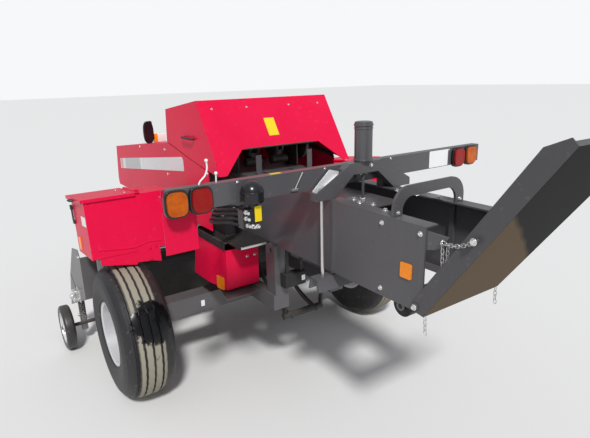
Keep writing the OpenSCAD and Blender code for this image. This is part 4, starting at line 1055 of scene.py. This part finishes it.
# Platform: a black apron down to the guard, a dark sheet put there as painted shade over the guard's open top, a
# bright rear edge, and a valve stack with fittings on the block
platform = {"apron": [((-0.4790, -0.278, 1.0075), (-0.4540, 0.150, 1.0110)),
                      ((-0.4790, -0.278, 0.9645), (-0.4760, 0.150, 1.0110))],
            "edge": ((-0.440, -0.4265, 1.004), (-0.268, -0.4240, 1.0185)), "edgeCorner": 0.001,
            "stack": (-0.392, -0.288), "first": -0.130, "step": 0.048, "long": 0.040, "count": 4,
            "low": 1.115, "high": 1.172, "screwX": (-0.370, -0.310), "screw": 0.017, "side": 1.145,
            "sideNut": 0.019, "stackCorner": 0.004, "stackEdge": 0.002}


def makePlatformTrim():
    # painted shade: a black sheet that hides the guard's inside
    apron = [bar(*corners, platform["edgeCorner"], 1) for corners in platform["apron"]]
    addPiece("platform_shade_sheet", apron, "rubberTrim", "frame")
    addPiece("platform_edge", [bar(*platform["edge"], platform["edgeCorner"], 0)], "zinc", "frame")
    x0, x1 = platform["stack"]
    stack, ends = [], []
    for k in range(platform["count"]):
        y = platform["first"] + platform["step"] * k
        middle = y + platform["long"] / 2
        lo, hi = (x0, y, platform["low"]), (x1, y + platform["long"], platform["high"])
        stack.append(bar(lo, hi, platform["stackCorner"], 0))
        for x in platform["screwX"]:
            ends += bolt((x, middle, platform["high"]), (0, 0, 1), platform["screw"], False)
        ends += bolt((x0, middle, platform["side"]), (-1, 0, 0), platform["sideNut"])
    addPiece("valve_stack", stack, "dark_iron", "frame", bevel=platform["stackEdge"])
    addPiece("stack_fittings", ends, "dryBolt", "frame")


makePlatformTrim()

# Junction block that hangs from the chamber's floor on two straps, behind the needles, with a bright plate
junction = {"lo": (-0.223, -0.560, 0.742), "hi": (-0.075, -0.500, 0.832), "straps": (-0.211, -0.109),
            "strap": (0.022, 0.006), "strapIn": 0.012, "overlap": 0.010, "floor": 1.0075,
            "plate": (-0.094, -0.560, 0.788), "plateSize": (0.026, 0.034, 0.002),
            "corner": 0.010, "strapCorner": 0.001, "edge": 0.002}


def makeJunction():
    lo, hi = junction["lo"], junction["hi"]
    wide, thick = junction["strap"]
    y = lo[1] + junction["strapIn"]
    z, floor, corner = hi[2] - junction["overlap"], junction["floor"], junction["strapCorner"]
    shapes = [bar(lo, hi, junction["corner"], 0)]
    shapes += [bar((x, y, z), (x + wide, y + thick, floor), corner) for x in junction["straps"]]
    addPiece("junction_block", shapes, "dark_iron", "frame", bevel=junction["edge"])
    plate = card(junction["plate"], (0, -1, 0), (0, 0, 1), *junction["plateSize"])
    addPiece("junction_plate", [plate], "brightPlate", "frame")


makeJunction()
print("rear trimmed")

# Chute: chains from the wall brackets to the bolts on its sides, a loose end hung double at each bracket,
# and a stub at each lower corner. Loose ends and the hook are given from the bracket
chain = {"bracket": (0.238, -1.700, 1.345), "bolt": (0.270, -1.859, 1.397), "sag": 0.016,
         "pitch": 0.018, "wire": 0.0020, "wide": 0.0135, "lap": 0.004,
         "loose": [[(-0.004, 0.004, -0.012), (-0.004, 0.002, -0.060), (-0.002, -0.004, -0.120)],
                   [(-0.006, -0.020, -0.014), (-0.004, -0.022, -0.070), (-0.002, -0.010, -0.120)]],
         "hook": [(-0.012, 0, 0), (0.002, -0.002, 0.010), (0.012, 0, 0), (0.002, 0, -0.012)],
         "hookWire": 0.004, "boltHead": 0.017, "boltFace": 0.276,
         "stubTop": (0.243, -1.637, 1.006), "stubLength": 0.080,
         "stub": [(0, 0, 0), (0, -0.001, -0.041), (-0.001, -0.004, -0.080)]}


def link(sides=7, steps=16):
    # One chain link round the origin: an oval ring in the (x, z) plane, long along x
    t = np.arange(steps) * 2 * math.pi / steps
    straight = chain["pitch"] / 2 - chain["wide"] / 2 + chain["lap"]
    ringX = np.cos(t) * (chain["wide"] / 2) + np.sign(np.cos(t)) * straight
    ringZ = np.sin(t) * (chain["wide"] / 2)
    return tube(np.stack([ringX, np.zeros(steps), ringZ], -1), chain["wire"], sides, closed=True)


def chainAlong(path):
    # Links set at equal steps along a path, every second one turned a quarter
    path = np.asarray(path, float)
    run = np.concatenate([[0], np.cumsum(np.linalg.norm(np.diff(path, axis=0), axis=1))])
    count = max(2, int(round(run[-1] / chain["pitch"])))
    spots = (np.arange(count) + 0.5) / count * run[-1]

    def placeAt(distance):
        return np.stack([np.interp(distance, run, path[:, k]) for k in range(3)], -1)

    at = placeAt(spots)
    ahead = placeAt(np.minimum(spots + chain["lap"], run[-1])) - placeAt(np.maximum(spots - chain["lap"], 0))
    one, faces = link()
    shapes = []
    for k in range(count):
        a, b, c = sideways(ahead[k])
        if k % 2:
            b, c = c, -b
        shapes.append((at[k] + one @ np.stack([a, b, c]), faces))
    return shapes


def sagging(start, end, sag, steps=14):
    # Parabola hung between two points
    s = np.linspace(0, 1, steps)[:, None]
    return np.asarray(start) * (1 - s) + np.asarray(end) * s - np.array([0, 0, 4 * sag]) * s * (1 - s)


def makeChains():
    bracket, stubTop = np.array(chain["bracket"]), np.array(chain["stubTop"])
    for label, side in machine["sides"].items():
        flip = np.array([side, 1, 1])
        span = chainAlong(sagging(bracket, chain["bolt"], chain["sag"]))
        piece = addPiece("chute_chain_" + label, onSide(side, span), "zinc", None)
        start, end = fromLine(bracket * flip), fromLine(chain["bolt"] * flip)
        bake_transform(piece)
        loose = [shape for path in chain["loose"] for shape in chainAlong(bracket + path)]
        hook = tube(smooth(bracket + chain["hook"], 5), chain["hookWire"])
        addPiece("loose_chain_" + label, onSide(side, loose + [hook]), "zinc", "frame")
        stub = chainAlong(stubTop + chain["stub"])
        piece = addPiece("stub_chain_" + label, onSide(side, stub), "zinc", None)
        start = fromLine(stubTop * flip)
        end = start - Vector((0, 0, chain["stubLength"]))
        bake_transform(piece)
        head = bolt((chain["boltFace"],) + chain["bolt"][1:], (1, 0, 0), chain["boltHead"])
        addPiece("chain_bolt_" + label, onSide(side, head), "dryBolt", "chute_door")


makeChains()
print("chains hung")

# Pickup: the upright post of each gauge wheel with its row of holes, its clamp outside the shield, and
# the shield's slot; the holes and slot are thin black discs and a card, painted shade in the openings. Outward are
# the clamp's nut, the axle's clip and a bolt, rearward a bolt of the fold
pickup = {"post": ((1.100, 0.963, 0.112), (1.145, 1.007, 0.450), 0.006),
          "clampPlate": ((1.154, 0.750, 0.427), (1.160, 0.850, 0.528), 0.002),
          "clamp": ((1.159, 0.770, 0.435), (1.203, 0.830, 0.520), 0.012),
          "clampBolts": [(1.169, 0.770, 0.449), (1.169, 0.770, 0.506), (1.191, 0.770, 0.449),
                         (1.191, 0.770, 0.506)],
          "clampBolt": 0.015,
          "outward": [((1.203, 0.800, 0.4775), 0.026), ((1.145, 0.985, 0.235), 0.019),
                      ((1.155, 0.600, 0.826), 0.014)],
          "rearward": [((1.066, 0.562, 0.561), 0.012)],
          "holes": 4, "firstHole": (1.1225, 0.963, 0.215), "holeStep": 0.034,
          "hole": [(0, 0), (0.0088, 0), (0.0088, 0.0008), (0, 0.0008)],
          "washer": [(0.0085, 0), (0.0125, 0), (0.0125, 0.0015), (0.0085, 0.0015), (0.0085, 0)],
          "slot": (1.155, 0.9695, 0.528), "slotRun": (0, 0.147, 0.082),
          "slotSize": (0.014, 0.168, 0.001, 0.006)}


def makePickupTrim():
    outward, rearward = (1, 0, 0), (0, -1, 0)
    addPiece("gauge_posts", bothSides([bar(*pickup["post"])]), "pickup_grey", "pickup")
    bright = [bar(*pickup["clampPlate"], 0), bar(*pickup["clamp"], 1)]
    for place in pickup["clampBolts"]:
        bright += bolt(place, rearward, pickup["clampBolt"])
    for key, direction in (("outward", outward), ("rearward", rearward)):
        for place, across in pickup[key]:
            bright += bolt(place, direction, across)
    # holes and slot are thin black discs and a card: painted shade in the openings
    holes = []
    for k in range(pickup["holes"]):
        spot = np.array(pickup["firstHole"]) + (0, 0, pickup["holeStep"] * k)
        bright.append(turned(pickup["washer"], spot, rearward, 20))
        holes.append(turned(pickup["hole"], spot, rearward, 20))
    addPiece("pickup_bolts", bothSides(bright), "dryBolt", "pickup")
    holes.append(card(pickup["slot"], outward, pickup["slotRun"], *pickup["slotSize"]))
    addPiece("pickup_hole_shades", bothSides(holes), "rubberTrim", "pickup")


makePickupTrim()

# Tined reel: bars between discs on a shaft, with double spring tines that coil round each bar
reel = {"centre": (0.950, 0.350), "half": 0.985, "shaft": 0.024, "shaftPast": 0.019, "discIn": 0.014,
        "disc": [(0.024, -0.005), (0.134, -0.005), (0.136, -0.003)], "barCircle": 0.120, "bars": 4,
        "bar": 0.013, "barIn": 0.008, "tines": 13, "tip": 0.249, "wire": 0.0028, "coil": 0.016,
        "apart": 0.070, "back": -0.020, "knee": (0.55, -0.016, 0.004), "coilStart": 0.002,
        "coilPitch": 0.0008, "coilSteps": 26, "bridge": (0.006, -0.019)}


def springTine():
    # Wire path in the bar's own directions (x along it, y back, z out): tip, leg, two coils, bridge, and back
    turns = np.linspace(0, 4 * math.pi, reel["coilSteps"])
    half, back, radius = reel["apart"] / 2, reel["back"], reel["coil"]
    out = reel["tip"] - reel["barCircle"]
    share, footBack, footOut = reel["knee"]
    leg = np.array([(-half, back, out), (-half, back, out * share), (-half, footBack, footOut)])
    across = -half + reel["coilStart"] + turns * reel["coilPitch"]
    coil = np.stack([across, -radius * np.cos(turns), -radius * np.sin(turns)], -1)
    halfPath = np.vstack([leg, coil])
    other = halfPath[::-1] * np.array([-1, 1, 1])
    x, y = reel["bridge"]
    bridge = np.array([(-x, y, 0.0), (x, y, 0.0)])
    return tube(np.vstack([halfPath, bridge, other]), reel["wire"], 6)


def makeReel():
    y0, z0 = reel["centre"]
    half = reel["half"]
    shaftEnd = half + reel["shaftPast"]
    shaft = [turned(bothWays([(0, -shaftEnd), (reel["shaft"], -shaftEnd)]), (0, y0, z0), (1, 0, 0), 32)]
    shaft += [turned(bothWays(reel["disc"]), (x, y0, z0), (1, 0, 0), 48)
              for x in (-half + reel["discIn"], 0.0, half - reel["discIn"])]
    one, faces = springTine()
    tines = []
    step = 2 * half / reel["tines"]
    for angle in np.arange(reel["bars"]) * 2 * math.pi / reel["bars"]:
        back = np.array([0, math.cos(angle), math.sin(angle)])
        out = np.array([0, -math.sin(angle), math.cos(angle)])
        place = np.array([0, y0, z0]) + reel["barCircle"] * out
        end = np.array([half - reel["barIn"], 0, 0])
        shaft.append(tube([place - end, place + end], reel["bar"], 14))
        for x in -half + (np.arange(reel["tines"]) + 0.5) * step:
            tines.append((place + (x, 0, 0) + one @ np.stack([np.array([1.0, 0, 0]), back, out]), faces))
    addPiece("reel_bars", shaft, "dark_iron", "reel", ["pickup_reel"])
    addPiece("reel_tines", tines, "bare_steel", "reel", ["pickup_reel"])


makeReel()
print("pickup made")

# Driveline: bellows over both joints and bands on the tube, on the tube's own line
driveline = {"start": (0, 1.668, 1.100), "fall": math.radians(14.5),
             "bellows": [(0.020, 0.073, 0.052), (1.085, 0.052, 0.073)], "long": 0.110, "folds": 6,
             "foldDepth": 0.0035, "bands": (0.165, 0.190, 1.010, 1.035),
             "band": [(0.0382, 0), (0.042, 0.002), (0.042, 0.012), (0.0382, 0.014)]}


def bellows(start, r0, r1):
    # Profile: the radius swings between folds while it changes from r0 to r1
    folds = driveline["folds"]
    u = np.linspace(0, 1, folds * 6 + 1)
    radius = r0 + (r1 - r0) * u + driveline["foldDepth"] * np.cos(2 * math.pi * folds * u)
    return np.stack([radius, start + driveline["long"] * u], -1)


def makeDriveline():
    axis = np.array([0, math.cos(driveline["fall"]), -math.sin(driveline["fall"])])
    start = np.array(driveline["start"])
    shapes = [turned(bellows(*sizes), start, axis, 48) for sizes in driveline["bellows"]]
    shapes += [turned(driveline["band"], start + a * axis, axis, 36) for a in driveline["bands"]]
    addPiece("driveline_bellows", shapes, "black_plastic", "driveline")


makeDriveline()

# Jack: a grip on its crank. Front markers: a tall oval disc on each bracket, and a lamp, white and amber
jack = {"crank": (-0.211, 2.400, 0.0),
        "grip": [(0.0082, 0.722), (0.014, 0.726), (0.0155, 0.75), (0.0155, 0.80), (0.013, 0.826),
                 (0.0082, 0.832)]}
marker = {"disc": (0.327, 1.381, 1.551), "half": (0.044, 0.095), "roundness": 2.6, "thick": 0.024,
          "bevel": 0.004, "lampY": (1.361, 1.403), "lampZ": (1.460, 1.534), "corner": 0.006,
          "front_lenses": (0.184, 0.252, "whiteLabel"), "front_amber": (0.252, 0.280, "reflector")}


def makeFrontTrim():
    addPiece("jack_grip", [turned(jack["grip"], jack["crank"], (0, 0, 1), 24)], "rubberTrim", "frame")
    outline = squircle(*marker["half"], marker["roundness"], 48)
    disc = prism(outline, marker["thick"], marker["disc"], (1, 0, 0), (0, 0, 1))
    addPiece("marker_discs", bothSides([disc]), "black_plastic", "frame", bevel=marker["bevel"])
    (y0, y1), (z0, z1) = marker["lampY"], marker["lampZ"]
    for name in ("front_lenses", "front_amber"):
        x0, x1, finish = marker[name]
        lamp = bar((x0, y0, z0), (x1, y1, z1), marker["corner"], 0)
        addPiece(name, bothSides([lamp]), finish, "frame")


makeFrontTrim()
print("front trimmed")

# Chute: its underside is painted dark, a painted shade, and its lower part painted brown up to a slanted edge, a
# painted reflection of the lit ground
chuteLook = {"angle": math.radians(55), "hinge": (-1.593, 1.038), "drop": (0.052, 0.0535), "rough": 0.8,
             "dark": (0.014, 0.0135, 0.013, 1), "brown": (0.118, 0.082, 0.046, 1), "reach": (0.468, 0.438),
             "slant": 0.765, "uneven": 0.05, "unevenScale": 6}


def fromHinge(tree):
    # Distances behind and above the chute's hinge
    place = objectPlace(tree)
    y, z = chuteLook["hinge"]
    return minus(tree, y + machine["lineY"], along(tree, place, "Y")), minus(tree, along(tree, place, "Z"), z)


def chuteUnder(tree):
    # 1 below the floor: back * sin - rise * cos is the distance square to it
    back, rise = fromHinge(tree)
    angle = chuteLook["angle"]
    drop = minus(tree, times(tree, back, math.sin(angle)), times(tree, rise, math.cos(angle)))
    return stretch(tree, drop, *chuteLook["drop"])


def chuteGroundReflection(tree):
    # 1 near the hinge: back * cos + rise * sin is the distance along the floor
    back, rise = fromHinge(tree)
    angle = chuteLook["angle"]
    place = objectPlace(tree)
    up = plus(tree, times(tree, back, math.cos(angle)), times(tree, rise, math.sin(angle)))
    slant = times(tree, along(tree, place, "X"), chuteLook["slant"])
    uneven = times(tree, noiseAt(tree, place, chuteLook["unevenScale"], 5), chuteLook["uneven"])
    return times(tree, chuteUnder(tree), stretch(tree, plus(tree, up, slant, uneven), *chuteLook["reach"]))


# painted shade on the underside, then the painted reflection of the ground near the hinge
pushColour("chutePaint", chuteUnder, chuteLook["dark"], chuteLook["rough"])
pushColour("chutePaint", chuteGroundReflection, chuteLook["brown"], chuteLook["rough"])
print("chute finished")
